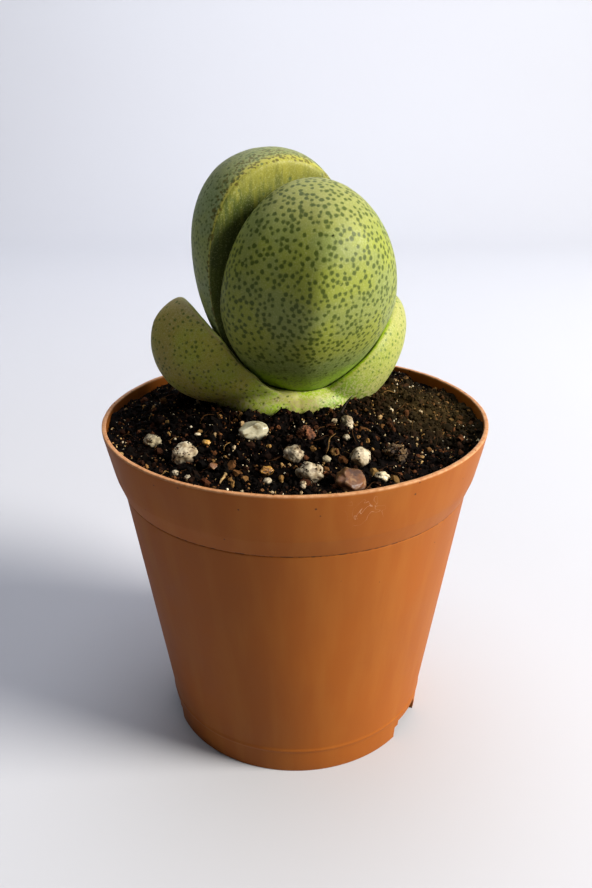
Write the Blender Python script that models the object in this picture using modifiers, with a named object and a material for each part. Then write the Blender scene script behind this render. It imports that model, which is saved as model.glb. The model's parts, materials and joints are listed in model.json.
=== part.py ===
"""A split rock plant in a small turned nursery pot: pot, soil, grains, root and four leaves.

Metres, +Z up. The origin is on the pot's axis at the foot, and the camera side of the plant is -Y.
"""
import math

import bmesh
import bpy
import numpy as np
from mathutils import Matrix, Vector, noise

MM = 0.001
GAP = 0.3 * MM                    # clearance between touching pieces

# Pot, a 5.5 cm nursery pot
POT_SIDES = 64
RIM_RADIUS = 27.5 * MM
RIM_TOP = 48.9 * MM
COLLAR_RADIUS = 26.2 * MM         # lower edge of the collar
COLLAR_BOTTOM = 42.2 * MM
BODY_RADIUS = 25.1 * MM           # top of the tapered body
BODY_TOP = 39.4 * MM
FOOT_RADIUS = 20.0 * MM
FOOT_TOP = 4.0 * MM
FOOT_DRAFT = 0.3 * MM
POT_WALL = 0.8 * MM
EDGE_ROUND = 0.3 * MM             # rounding of the rim and the foot ring
FLOOR_UNDER = 3.2 * MM
FLOOR_THICK = 0.8 * MM
NOTCH_WIDTH = 7.5 * MM            # two notches in the foot ring
NOTCH_HEIGHT = 2.8 * MM
NOTCH_ROUND = 0.8 * MM
NOTCH_AZIMUTHS = (-30, 194)
DRAIN_RADIUS = 2.5 * MM
DRAIN_CIRCLE = 11.0 * MM
DRAIN_AZIMUTHS = (37, 127, 217, 307)

# Soil, level near the rim and heaped up around the plant
SOIL_EDGE = 47.4 * MM
SOIL_HEAP = 4.1 * MM
HEAP_RADIUS = 23.0 * MM
PLANT_AXIS = (-0.5 * MM, 2.6 * MM)
SOIL_RINGS = 12
CLOD_HEIGHT = 0.8 * MM
CLOD_SIZE = 3.2 * MM
SMALL_CLODS = 0.5                 # height of the clods of half that size, as a share

# Root and crown: height and radius from the flat top to the root's tip
ROOT_PROFILE = ((53.0, 4.4), (50.0, 5.2), (46.0, 4.4), (40.0, 2.8), (30.0, 1.6), (20.0, 0.8), (16.0, 0.3))
ROOT_SIDES = 24
ROOT_UNEVEN = 0.07                # share by which its three bulges swell
ROOT_DRIFT = 0.02                 # sideways run of the taproot for each length downwards

# The clasping foot that each outer leaf adds to its blade
SHEATH_CENTRE = (-1.0 * MM, 3.0 * MM, 51.2 * MM)
SHEATH_RADII = (11.6 * MM, 10.0 * MM, 4.2 * MM)
SHEATH_AZIMUTH = 22
SEAM_POINT = (0.0, -6.5 * MM)     # where the two outer leaves part in front
SEAM_AZIMUTH = -75
BLOCK = 80 * MM                   # edge of the blocks that cut leaves flat

LEAF_SIDES = 34
LEAF_RINGS = 24

# Each leaf is an egg with one flat face. Lengths in mm, angles in degrees; the azimuth is the way its
# convex back faces, and the lean is away from the plant's axis. The outline is blunt at the base and
# pointed at the tip in the degree of its two exponents. The face lies that far inside the leaf's own
# axis, tilts towards the tip and sags in the middle.
LEAVES = {
    "inner_leaf_front": dict(
        base=(1.2, -0.2, 51.7), azimuth=-61, lean=8.9, twist=2.6, length=30.2, width=12.25, depth=10.8,
        inside=8.6, egg=-0.09, deepening=0.25, inside_deepening=0, blunt=1.64, inside_blunt=4, point=2.1,
        face=2.6, tilt=-0.5, sag=0, bow=0, corner=0.3, colour=(0.42, 0.47, 0.16)),
    "inner_leaf_back": dict(
        base=(-0.6, 1.0, 52.4), azimuth=119, lean=7.1, twist=-4.1, length=32.7, width=11.3, depth=9.0,
        inside=10.6, egg=0.08, deepening=0.10, inside_deepening=0, blunt=2.0, inside_blunt=4, point=2.19,
        face=2.3, tilt=3.8, sag=0, bow=0, corner=0.3, colour=(0.38, 0.42, 0.16)),
    "outer_leaf_left": dict(
        base=(0.5, 4.8, 50.7), azimuth=207.5, lean=59.8, twist=10.7, length=23.8, width=9.4, depth=7.1,
        inside=7.1, egg=-0.27, deepening=0.62, inside_deepening=0.62, blunt=2.16, inside_blunt=2.16,
        point=1.6, face=1.3, tilt=4.7, sag=-1.0, bow=-0.2, corner=0.4, colour=(0.36, 0.38, 0.17)),
    "outer_leaf_right": dict(
        base=(-1.3, 2.4, 49.4), azimuth=25, lean=48.9, twist=0.9, length=22.7, width=9.6, depth=7.8,
        inside=7.8, egg=-0.05, deepening=-0.1, inside_deepening=-0.1, blunt=2.08, inside_blunt=2.08,
        point=1.8, face=1.4, tilt=0.1, sag=0.1, bow=0.85, corner=0.3, colour=(0.47, 0.50, 0.20)),
}
PAIR_ROOM = 4.0 * MM              # the outer leaves leave this much free between the inner two
LEAF_FOOT_DEPTH = -1.0            # mm; near its base no face lies deeper behind the leaf's axis

# Larger grains on the soil: place in mm, longest size in mm, flatness, ruggedness, mesh detail, colour
PERLITE = (0.78, 0.76, 0.70)
GRAINS = {
    "quartz_grain": ((-5.4, -12.5), 4.0, 0.75, 0.22, 2, (0.66, 0.63, 0.54)),
    "perlite_left": ((-14.3, -14.6), 3.9, 0.88, 0.18, 2, PERLITE),
    "bark_chip_left": ((-19.3, -9.4), 3.0, 0.60, 0.30, 2, (0.42, 0.30, 0.17)),
    "bark_lump_red": ((1.3, -13.0), 2.7, 0.80, 0.35, 2, (0.26, 0.08, 0.04)),
    "perlite_middle_back": ((-0.2, -16.8), 2.8, 0.85, 0.18, 2, PERLITE),
    "perlite_middle": ((1.8, -19.8), 3.6, 0.88, 0.18, 2, PERLITE),
    "perlite_small": ((6.9, -9.4), 2.0, 0.90, 0.18, 2, PERLITE),
    "perlite_right": ((8.2, -16.6), 3.3, 0.85, 0.18, 2, PERLITE),
    "bark_lump_fibrous": ((12.9, -14.5), 3.1, 0.80, 0.35, 2, (0.20, 0.11, 0.05)),
    "stone_brown": ((6.6, -21.9), 4.6, 0.65, 0.22, 2, (0.16, 0.10, 0.06)),
    "stone_cream": ((10.8, -20.0), 2.0, 0.70, 0.25, 2, (0.62, 0.52, 0.36)),
    "stone_amber": ((-3.6, -19.2), 1.9, 0.75, 0.25, 2, (0.45, 0.20, 0.05)),
}
GRAIN_LIFT = 0.15                 # share of its size by which a grain's middle lies above the soil
GRAIN_FULLNESS = 0.94             # mean radius of a grain as a share of half its longest size
GRAIN_WIDTH = 0.86                # width of a grain as a share of its length
GRAIN_LUMPS = 1.6                 # how closely the lumps of a grain follow each other
GRAIN_TILT = 0.25                 # most that a grain leans, in radians

POT_COLOUR = (0.33, 0.10, 0.025)
SOIL_COLOUR = (0.020, 0.011, 0.007)
ROOT_COLOUR = (0.33, 0.22, 0.12)


def clear_scene():
    for obj in list(bpy.data.objects):
        bpy.data.objects.remove(obj, do_unlink=True)


def make_collection(name):
    collection = bpy.data.collections.new(name)
    bpy.context.scene.collection.children.link(collection)
    return collection


def add_material(obj, colour, roughness):
    material = bpy.data.materials.new(obj.name + "_material")
    material.use_nodes = True
    shader = material.node_tree.nodes["Principled BSDF"]
    shader.inputs["Base Color"].default_value = (*colour, 1)
    shader.inputs["Roughness"].default_value = roughness
    shader.inputs["Metallic"].default_value = 0
    obj.data.materials.append(material)


def add_object(name, bm, collection, smooth=True):
    """Turns a bmesh into an object of that collection."""
    mesh = bpy.data.meshes.new(name)
    bm.to_mesh(mesh)
    bm.free()
    if smooth:
        mesh.shade_smooth()
        mesh.set_sharp_from_angle(angle=math.radians(40))
    obj = bpy.data.objects.new(name, mesh)
    collection.objects.link(obj)
    return obj


def add_cutter(name, bm, collection):
    obj = add_object(name, bm, collection, smooth=False)
    obj.hide_render = True
    obj.display_type = "WIRE"
    return obj


def grow(bm, distance):
    """Moves every vertex outwards along its normal."""
    bm.normal_update()
    for vert in bm.verts:
        vert.co += vert.normal * distance


def add_boolean(obj, operation, cutter=None, cutters=None):
    modifier = obj.modifiers.new(operation.lower(), "BOOLEAN")
    modifier.operation = operation
    modifier.solver = "EXACT"
    if cutters is not None:
        modifier.operand_type = "COLLECTION"
        modifier.collection = cutters
    else:
        modifier.object = cutter


def turn_profile(name, points, sides, collection):
    """Turns points (radius, height), listed down the outer side, about the Z axis."""
    mesh = bpy.data.meshes.new(name)
    edges = [(i, i + 1) for i in range(len(points) - 1)]
    mesh.from_pydata([(radius, 0, height) for radius, height in points], edges, [])
    obj = bpy.data.objects.new(name, mesh)
    collection.objects.link(obj)
    screw = obj.modifiers.new("screw", "SCREW")
    screw.steps = sides
    screw.render_steps = sides
    screw.use_merge_vertices = True
    screw.merge_threshold = 0.00005
    screw.use_smooth_shade = True
    return obj


def polar(radius, azimuth, height=0.0):
    angle = math.radians(azimuth)
    return Vector((radius * math.cos(angle), radius * math.sin(angle), height))


def arc(centre, radius, start, end, count):
    """Points (radius, height) along an arc of a profile, angles in degrees from outwards."""
    angles = [math.radians(start + (end - start) * i / (count - 1)) for i in range(count)]
    return [(centre[0] + radius * math.cos(a), centre[1] + radius * math.sin(a)) for a in angles]


def pot_outer_radius(height):
    """Outer radius of the pot's wall at a height above its foot."""
    heights = (0, FOOT_TOP, BODY_TOP, COLLAR_BOTTOM, RIM_TOP)
    radii = (FOOT_RADIUS - FOOT_DRAFT, FOOT_RADIUS, BODY_RADIUS, COLLAR_RADIUS, RIM_RADIUS)
    return float(np.interp(height, heights, radii))


def pot_profile():
    floor_top = FLOOR_UNDER + FLOOR_THICK
    ring_inside = pot_outer_radius(0) - 1.5 * POT_WALL
    lip = 0.5 * POT_WALL
    rim = arc((RIM_RADIUS - lip, RIM_TOP - lip), lip, 180, 0, 7)
    foot = arc((pot_outer_radius(0) - EDGE_ROUND, EDGE_ROUND), EDGE_ROUND, 0, -90, 4)
    inner_wall = [(pot_outer_radius(z) - POT_WALL, z) for z in (floor_top, BODY_TOP, COLLAR_BOTTOM)]
    outer_wall = [(COLLAR_RADIUS, COLLAR_BOTTOM), (BODY_RADIUS, BODY_TOP), (FOOT_RADIUS, FOOT_TOP)]
    underside = [(ring_inside, 0), (ring_inside, FLOOR_UNDER), (0, FLOOR_UNDER)]
    return [(0, floor_top)] + inner_wall + rim + outer_wall + foot + underside


def make_pot(parts, cutters):
    pot = turn_profile("pot", pot_profile(), POT_SIDES, parts)
    for azimuth in NOTCH_AZIMUTHS:
        bm = bmesh.new()
        bmesh.ops.create_cube(bm, size=1)
        bmesh.ops.scale(bm, vec=(8 * POT_WALL, NOTCH_WIDTH, 2 * NOTCH_HEIGHT), verts=bm.verts)
        lengthwise = [e for e in bm.edges if abs(e.verts[0].co.x - e.verts[1].co.x) > POT_WALL]
        bmesh.ops.bevel(bm, geom=lengthwise, offset=NOTCH_ROUND, segments=3, affect="EDGES")
        cutter = add_cutter(f"notch_cutter_{azimuth}", bm, cutters)
        cutter.location = polar(FOOT_RADIUS, azimuth)
        cutter.rotation_euler.z = math.radians(azimuth)
        add_boolean(pot, "DIFFERENCE", cutter)
    for azimuth in DRAIN_AZIMUTHS:
        bm = bmesh.new()
        bmesh.ops.create_cone(bm, cap_ends=True, segments=20, radius1=DRAIN_RADIUS, radius2=DRAIN_RADIUS,
                              depth=4 * FLOOR_THICK)
        cutter = add_cutter(f"drain_cutter_{azimuth}", bm, cutters)
        cutter.location = polar(DRAIN_CIRCLE, azimuth, FLOOR_UNDER + FLOOR_THICK / 2)
        add_boolean(pot, "DIFFERENCE", cutter)
    add_material(pot, POT_COLOUR, 0.45)


def leaf_point(leaf, x, y, z):
    """Place of a point of the unit sphere on a leaf: z runs from its base to its tip, +y is its face."""
    around = math.sqrt(max(1e-12, 1 - z * z))
    across, outward = x / around, y / around

    def girth(blunt):
        power = blunt if z < 0 else leaf["point"]
        return max(0.0, 1 - abs(z) ** power) ** (1 / power)

    side = leaf["width"] * girth(leaf["blunt"]) * across * (1 + leaf["egg"] * z)
    if outward < 0:
        depth = leaf["depth"] * girth(leaf["blunt"]) * outward * (1 + leaf["deepening"] * z)
    else:
        depth = leaf["inside"] * girth(leaf["inside_blunt"]) * outward * (1 + leaf["inside_deepening"] * z)
    face = max(leaf["face"] + leaf["tilt"] * z + leaf["sag"] * (1 - z * z), LEAF_FOOT_DEPTH)
    depth = face - leaf["corner"] * float(np.logaddexp(0, (face - depth) / leaf["corner"]))
    rise = (z + 1) / 2
    return Vector((side, depth - leaf["bow"] * rise ** 2, leaf["length"] * rise)) * MM


def leaf_frame(leaf):
    """Matrix from the leaf's own axes (across, towards the face, base to tip) to the plant."""
    azimuth, lean, twist = (math.radians(leaf[key]) for key in ("azimuth", "lean", "twist"))
    away = Vector((math.cos(azimuth), math.sin(azimuth), 0))
    up = Vector((0, 0, 1))
    stem = away * math.sin(lean) + up * math.cos(lean)
    inner = up * math.sin(lean) - away * math.cos(lean)
    side = inner.cross(stem)
    across = side * math.cos(twist) + stem * math.sin(twist)
    length = stem * math.cos(twist) - side * math.sin(twist)
    turn = Matrix((across, inner, length)).transposed().to_4x4()
    return Matrix.Translation(Vector(leaf["base"]) * MM) @ turn


def leaf_mesh(leaf):
    bm = bmesh.new()
    bmesh.ops.create_uvsphere(bm, u_segments=LEAF_SIDES, v_segments=LEAF_RINGS, radius=1)
    for vert in bm.verts:
        vert.co = leaf_point(leaf, *vert.co)
    bm.transform(leaf_frame(leaf))
    return bm


def sheath_mesh():
    bm = bmesh.new()
    bmesh.ops.create_uvsphere(bm, u_segments=48, v_segments=16, radius=1)
    bmesh.ops.scale(bm, vec=SHEATH_RADII, verts=bm.verts)
    bm.transform(Matrix.Translation(SHEATH_CENTRE) @ Matrix.Rotation(math.radians(SHEATH_AZIMUTH), 4, "Z"))
    return bm


def root_mesh():
    """A short crown and taproot from rings of one profile, slightly uneven."""
    bm = bmesh.new()
    bmesh.ops.create_cone(bm, cap_ends=True, segments=ROOT_SIDES, radius1=1, radius2=1, depth=1)
    upright = [e for e in bm.edges if abs(e.verts[0].co.z - e.verts[1].co.z) > 0.5]
    bmesh.ops.subdivide_edges(bm, edges=upright, cuts=len(ROOT_PROFILE) - 2, use_grid_fill=True)
    heights = [height for height, radius in ROOT_PROFILE]
    radii = [radius for height, radius in ROOT_PROFILE]
    for vert in bm.verts:
        ring = (0.5 - vert.co.z) * (len(ROOT_PROFILE) - 1)
        height = float(np.interp(ring, range(len(heights)), heights))
        radius = float(np.interp(ring, range(len(radii)), radii))
        angle = math.atan2(vert.co.y, vert.co.x)
        uneven = 1 + ROOT_UNEVEN * math.sin(3 * angle + height / 4)
        drift = ROOT_DRIFT * (heights[0] - height)
        vert.co.x = PLANT_AXIS[0] + (radius * uneven * math.cos(angle) + drift) * MM
        vert.co.y = PLANT_AXIS[1] + radius * uneven * math.sin(angle) * MM
        vert.co.z = height * MM
    return bm


def heap_level(x, y):
    """Height of the heaped soil without its clods."""
    away = math.hypot(x - PLANT_AXIS[0], y - PLANT_AXIS[1])
    return SOIL_EDGE + SOIL_HEAP * max(0.0, 1 - (away / HEAP_RADIUS) ** 3)


def soil_level(x, y):
    clods = noise.noise(Vector((x, y, 0)) / CLOD_SIZE)
    small_clods = noise.noise(Vector((y, x, 0.02)) * 2 / CLOD_SIZE)
    return heap_level(x, y) + CLOD_HEIGHT * (clods + SMALL_CLODS * small_clods)


def grain_mesh(name):
    place, size, flatness, ruggedness, detail, colour = GRAINS[name]
    bm = bmesh.new()
    bmesh.ops.create_icosphere(bm, subdivisions=detail, radius=size / 2 * MM)
    offset = Vector((sum(place), size * 3, flatness * 7))
    for vert in bm.verts:
        way = vert.co.normalized()
        vert.co *= GRAIN_FULLNESS + ruggedness * noise.noise(way * GRAIN_LUMPS + offset)
        vert.co.y *= GRAIN_WIDTH
        vert.co.z *= flatness
    x, y = place[0] * MM, place[1] * MM
    height = heap_level(x, y) + GRAIN_LIFT * size * MM
    spin = Matrix.Rotation(place[0] * 1.7, 4, "Z")
    turn = spin @ Matrix.Rotation(GRAIN_TILT * math.sin(place[1]), 4, "X")
    bm.transform(Matrix.Translation((x, y, height)) @ turn)
    return bm


def seam_block(name, facing, cutters):
    """A block that takes away what lies beyond the seam between the outer leaves."""
    bm = bmesh.new()
    bmesh.ops.create_cube(bm, size=BLOCK)
    block = add_cutter(name, bm, cutters)
    block.location = Vector((*SEAM_POINT, SOIL_EDGE)) + polar(BLOCK / 2 - GAP / 2, SEAM_AZIMUTH + facing * 90)
    block.rotation_euler.z = math.radians(SEAM_AZIMUTH)
    return block


def make_plant(parts, cutters, leaf_cutters):
    root = add_object("root_crown", root_mesh(), parts)
    add_material(root, ROOT_COLOUR, 0.9)
    crown_top = ROOT_PROFILE[0][0] * MM
    bm = bmesh.new()
    bmesh.ops.create_cube(bm, size=BLOCK)
    flat_foot = add_cutter("leaf_foot_cutter", bm, cutters)
    flat_foot.location = (*PLANT_AXIS, crown_top + GAP - BLOCK / 2)
    for name in ("inner_leaf_front", "inner_leaf_back"):
        leaf = add_object(name, leaf_mesh(LEAVES[name]), parts)
        add_boolean(leaf, "DIFFERENCE", flat_foot)
        add_material(leaf, LEAVES[name]["colour"], 0.5)
        bm = leaf_mesh(LEAVES[name])
        grow(bm, GAP)
        add_cutter(name + "_room", bm, leaf_cutters)
    bm = root_mesh()
    grow(bm, GAP)
    add_cutter("root_room_in_leaves", bm, leaf_cutters)
    bm = bmesh.new()
    bmesh.ops.create_cone(bm, cap_ends=True, segments=16, radius1=PAIR_ROOM, radius2=PAIR_ROOM,
                          depth=2 * PAIR_ROOM)
    between = add_cutter("room_between_inner_leaves", bm, leaf_cutters)
    between.location = (*PLANT_AXIS, crown_top)
    sheath = add_cutter("sheath", sheath_mesh(), cutters)
    for name, facing in (("outer_leaf_left", 1), ("outer_leaf_right", -1)):
        leaf = add_object(name, leaf_mesh(LEAVES[name]), parts)
        add_boolean(leaf, "UNION", sheath)
        add_boolean(leaf, "DIFFERENCE", seam_block(name + "_seam", facing, cutters))
        add_boolean(leaf, "DIFFERENCE", cutters=leaf_cutters)
        add_material(leaf, LEAVES[name]["colour"], 0.5)


def make_grains(parts):
    for name, grain in GRAINS.items():
        smooth = grain[4] > 2
        obj = add_object(name, grain_mesh(name), parts, smooth)
        add_material(obj, grain[5], 0.8)


def soil_profile():
    """From the middle of the surface out to the pot's wall, down it, and in along the floor."""
    clear = POT_WALL + GAP
    top_radius = pot_outer_radius(SOIL_EDGE) - clear
    floor = FLOOR_UNDER + FLOOR_THICK + GAP
    surface = [(top_radius * i / SOIL_RINGS, SOIL_EDGE) for i in range(SOIL_RINGS + 1)]
    wall = [(pot_outer_radius(z) - clear, z) for z in (COLLAR_BOTTOM, BODY_TOP, floor)]
    return surface + wall + [(0, floor)]


def make_soil(parts, soil_cutters):
    soil = turn_profile("soil", soil_profile(), POT_SIDES, parts)
    turned = bpy.data.meshes.new_from_object(soil.evaluated_get(bpy.context.evaluated_depsgraph_get()))
    soil.modifiers.clear()
    soil.data = turned
    for vert in turned.vertices:
        if vert.co.z > SOIL_EDGE - MM:
            vert.co.z = soil_level(vert.co.x, vert.co.y)
    for name in LEAVES:
        if name.startswith("outer"):
            bm = leaf_mesh(LEAVES[name])
            grow(bm, GAP)
            add_cutter(name + "_room", bm, soil_cutters)
    for name, bm in (("sheath_room", sheath_mesh()), ("root_room", root_mesh())):
        grow(bm, GAP)
        add_cutter(name, bm, soil_cutters)
    for name in GRAINS:
        bm = grain_mesh(name)
        grow(bm, GAP)
        add_cutter(name + "_room", bm, soil_cutters)
    add_boolean(soil, "DIFFERENCE", cutters=soil_cutters)
    add_material(soil, SOIL_COLOUR, 0.95)


def main():
    clear_scene()
    parts = make_collection("potted_split_rock")
    cutters = make_collection("cutters")
    leaf_cutters = make_collection("leaf_cutters")
    soil_cutters = make_collection("soil_cutters")
    make_pot(parts, cutters)
    make_plant(parts, cutters, leaf_cutters)
    make_grains(parts)
    make_soil(parts, soil_cutters)


main()
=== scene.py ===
# Potted split rock: two pairs of thick dotted leaves in heaped gritty soil, in a 55 mm nursery pot.
# Metres, +Z up, the pot's foot on the floor. The side that the camera sees is -Y.
import json
import math

import bmesh
import bpy
import numpy as np
from mathutils import Matrix, Vector, noise
from mathutils.bvhtree import BVHTree

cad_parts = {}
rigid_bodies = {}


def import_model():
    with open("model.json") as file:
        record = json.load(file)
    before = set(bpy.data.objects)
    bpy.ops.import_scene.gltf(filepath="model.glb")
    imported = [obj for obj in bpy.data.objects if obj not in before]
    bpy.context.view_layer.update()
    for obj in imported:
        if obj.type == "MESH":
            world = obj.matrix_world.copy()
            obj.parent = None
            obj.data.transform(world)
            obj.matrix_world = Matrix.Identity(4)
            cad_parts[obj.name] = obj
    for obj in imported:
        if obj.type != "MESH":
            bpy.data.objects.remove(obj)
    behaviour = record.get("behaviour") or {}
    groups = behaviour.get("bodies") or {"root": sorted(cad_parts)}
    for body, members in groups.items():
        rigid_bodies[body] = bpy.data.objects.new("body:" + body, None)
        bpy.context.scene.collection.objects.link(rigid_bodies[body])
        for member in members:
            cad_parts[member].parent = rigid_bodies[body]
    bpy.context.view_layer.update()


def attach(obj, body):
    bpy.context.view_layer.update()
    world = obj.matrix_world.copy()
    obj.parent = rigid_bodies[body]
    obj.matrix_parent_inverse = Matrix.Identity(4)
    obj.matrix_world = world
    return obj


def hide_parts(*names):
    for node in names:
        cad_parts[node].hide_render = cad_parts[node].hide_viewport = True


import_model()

mm = 0.001
scene = bpy.context.scene


# Colours, nodes and meshes

def toLinear(code):      # sRGB hex to the linear values that shaders take
    parts = [int(code[i:i + 2], 16) / 255 for i in (1, 3, 5)]
    return [p / 12.92 if p <= 0.04045 else ((p + 0.055) / 1.055) ** 2.4 for p in parts] + [1.0]


def setInputs(tree, node, sockets):
    # each input takes a value, or a link from a socket or from the first output in use of another node
    for key, value in sockets.items():
        if isinstance(value, bpy.types.Node):
            value = next(output for output in value.outputs if output.enabled)
        if isinstance(value, bpy.types.NodeSocket):
            tree.links.new(value, node.inputs[key])
        else:
            node.inputs[key].default_value = value


def addNode(tree, kind, sockets={}, stops=(), **settings):
    # a node with its settings, the values or links of its inputs, and a ramp's stops
    node = tree.nodes.new(kind)
    for name, value in settings.items():
        setattr(node, name, value)
    setInputs(tree, node, sockets)
    for number, (place, code) in enumerate(stops):
        ramp = node.color_ramp.elements
        stop = ramp[number] if number < 2 else ramp.new(place)
        stop.position, stop.color = place, toLinear(code)
    return node


def layered(tree, base, layers):
    # a base colour with more laid over it; each has its colour and the node that masks it, or the readings
    # that do, multiplied, every reading being a value taken from one range to another
    colour = toLinear(base) if isinstance(base, str) else base
    for code, mask in layers:
        if isinstance(mask, list):
            readings = [addNode(tree, "ShaderNodeMapRange", {
                "Value": value, 1: low, 2: high, 3: start, 4: end},
                interpolation_type="SMOOTHSTEP") for value, low, high, start, end in mask]
            mask = readings[0]
            for reading in readings[1:]:
                mask = addNode(tree, "ShaderNodeMath", {0: mask, 1: reading}, operation="MULTIPLY")
        colour = addNode(tree, "ShaderNodeMix", {0: mask, 6: colour, 7: toLinear(code)}, data_type="RGBA")
    return colour


def startMaterial(name, roughness, ior=1.5):
    material = bpy.data.materials.new(name)
    material.use_nodes = True
    tree = material.node_tree
    shader = tree.nodes["Principled BSDF"]
    setInputs(tree, shader, {"Roughness": roughness, "IOR": ior})
    return material, tree, shader, addNode(tree, "ShaderNodeTexCoord").outputs["Object"]


def newObject(name, mesh):
    piece = bpy.data.objects.new(name, mesh)
    scene.collection.objects.link(piece)
    return piece


def meshFrom(name, bm, smooth=True):
    mesh = bpy.data.meshes.new(name)
    bm.to_mesh(mesh)
    bm.free()
    if smooth:
        mesh.shade_smooth()
    return mesh


def applied(piece):      # the piece with its modifiers made into a plain mesh
    graph = bpy.context.evaluated_depsgraph_get()
    mesh = bpy.data.meshes.new_from_object(piece.evaluated_get(graph))
    piece.modifiers.clear()
    piece.data = mesh
    mesh.name = piece.name
    return piece


def corners(mesh):       # an array of the mesh's points
    points = np.empty(len(mesh.vertices) * 3, np.float32)
    mesh.vertices.foreach_get("co", points)
    return points.reshape(-1, 3).astype(float)


def setCorners(mesh, points):
    mesh.vertices.foreach_set("co", points.astype(np.float32).ravel())
    mesh.update()


def pointNormals(mesh):
    normals = np.empty(len(mesh.vertices) * 3, np.float32)
    mesh.vertex_normals.foreach_get("vector", normals)
    return normals.reshape(-1, 3).astype(float)


def keepValue(mesh, name, values):       # one number for each point, read by a material or a node tree
    layer = mesh.attributes.get(name) or mesh.attributes.new(name, "FLOAT", "POINT")
    layer.data.foreach_set("value", np.asarray(values, np.float32))


def step(low, high, values):             # 0 below low, 1 above high, smooth between
    share = np.clip((np.asarray(values, float) - low) / (high - low), 0, 1)
    return share * share * (3 - 2 * share)


def ripple(points, size, seed=0.0):      # smooth noise from -1 to 1 over features of that size
    shift = Vector((seed, seed * 0.7, -seed))
    return np.array([noise.noise(Vector(p) / size + shift) for p in points])


def wear(piece, material, slot, *nodes):
    piece.data.materials.clear()
    piece.data.materials.append(material)
    if nodes:
        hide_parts(*nodes)
    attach(piece, "root")


def geometryTree(name, sizes):
    # a node tree with a geometry coming in and going out, and the named inputs for its sizes
    tree = bpy.data.node_groups.new(name, "GeometryNodeTree")
    tree.interface.new_socket("Geometry", in_out="INPUT", socket_type="NodeSocketGeometry")
    for label, kind in sizes.items():
        tree.interface.new_socket(label, in_out="INPUT", socket_type="NodeSocket" + kind)
    tree.interface.new_socket("Geometry", in_out="OUTPUT", socket_type="NodeSocketGeometry")
    return tree, addNode(tree, "NodeGroupInput").outputs


def endTree(tree, geometry, finish):     # all trees end alike: plain geometry with its material
    plain = addNode(tree, "GeometryNodeRealizeInstances", {"Geometry": geometry})
    coat = addNode(tree, "GeometryNodeSetMaterial", {"Geometry": plain, "Material": finish})
    addNode(tree, "NodeGroupOutput", {"Geometry": coat})
    return tree


def runTree(piece, tree, **values):
    # a modifier with that tree; its inputs are set by their identifiers, then it is made a plain mesh
    modifier = piece.modifiers.new(tree.name, "NODES")
    modifier.node_group = tree
    for item in tree.interface.items_tree:
        if item.in_out == "INPUT" and item.name in values:
            modifier[item.identifier] = values[item.name]
    return applied(piece)


# Camera, light and stage

view = {
    "pitch": 23.191, "roll": -0.257,     # degrees
    "eyeBack": 121.635 * mm, "aimHeight": 43.652 * mm,
    "lens": 33.43, "shiftX": 0.68 / 888,
}


def makeCamera():
    pitch = math.radians(view["pitch"])
    data = bpy.data.cameras.new("camera")
    data.lens, data.sensor_width, data.sensor_fit = view["lens"], 36, "AUTO"
    data.shift_x, data.clip_start = view["shiftX"], 0.001
    camera = newObject("camera", data)
    eye = Vector((0, -math.cos(pitch), math.sin(pitch))) * view["eyeBack"] + Vector((0, 0, view["aimHeight"]))
    turn = Matrix.Rotation(math.pi / 2 - pitch, 4, "X")
    camera.matrix_world = Matrix.Translation(eye) @ turn @ Matrix.Rotation(math.radians(view["roll"]), 4, "Z")
    scene.camera = camera


light = {                # a window on the right, a pale ceiling, and what the backdrop gets
    "key": dict(azimuth=-17, height=28, away=0.8, size=0.36, power=14.9, colour="#fffbf4"),
    "top": dict(azimuth=100, height=84, away=0.75, size=0.7, power=3.3, colour="#f1f5ff"),
    "back": dict(azimuth=90, height=62, away=0.6, size=0.5, power=2.5, colour="#e6edff", aim=(0, 0.75, 0.25)),
}
room = {"colour": "#efeeea", "strength": 0.035}


def makeLight():
    middle = Vector((0, 0, 45 * mm))     # about where the plant leaves the soil
    for name, lamp in light.items():
        data = bpy.data.lights.new(name + "Light", "AREA")
        data.shape, data.size, data.energy = "DISK", lamp["size"], lamp["power"]
        data.color = toLinear(lamp["colour"])[:3]
        piece = newObject(name + "Light", data)
        azimuth, height = math.radians(lamp["azimuth"]), math.radians(lamp["height"])
        flat = math.cos(height)
        way = Vector((math.cos(azimuth) * flat, math.sin(azimuth) * flat, math.sin(height)))
        piece.location = way * lamp["away"] + middle
        aim = Vector(lamp.get("aim", middle))
        piece.rotation_euler = (piece.location - aim).to_track_quat("Z", "Y").to_euler()
    world = bpy.data.worlds.new("room")
    world.use_nodes = True
    background = world.node_tree.nodes["Background"]
    setInputs(world.node_tree, background, {"Color": toLinear(room["colour"]), "Strength": room["strength"]})
    scene.world = world
    scene.view_settings.view_transform = "Standard"


paper = {                # metres
    "width": 2.4, "front": -0.7, "bend": 0.42, "radius": 0.25, "height": 1.2,
    "colour": "#bababe", "paleColour": "#bcbdc1",
}


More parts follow.
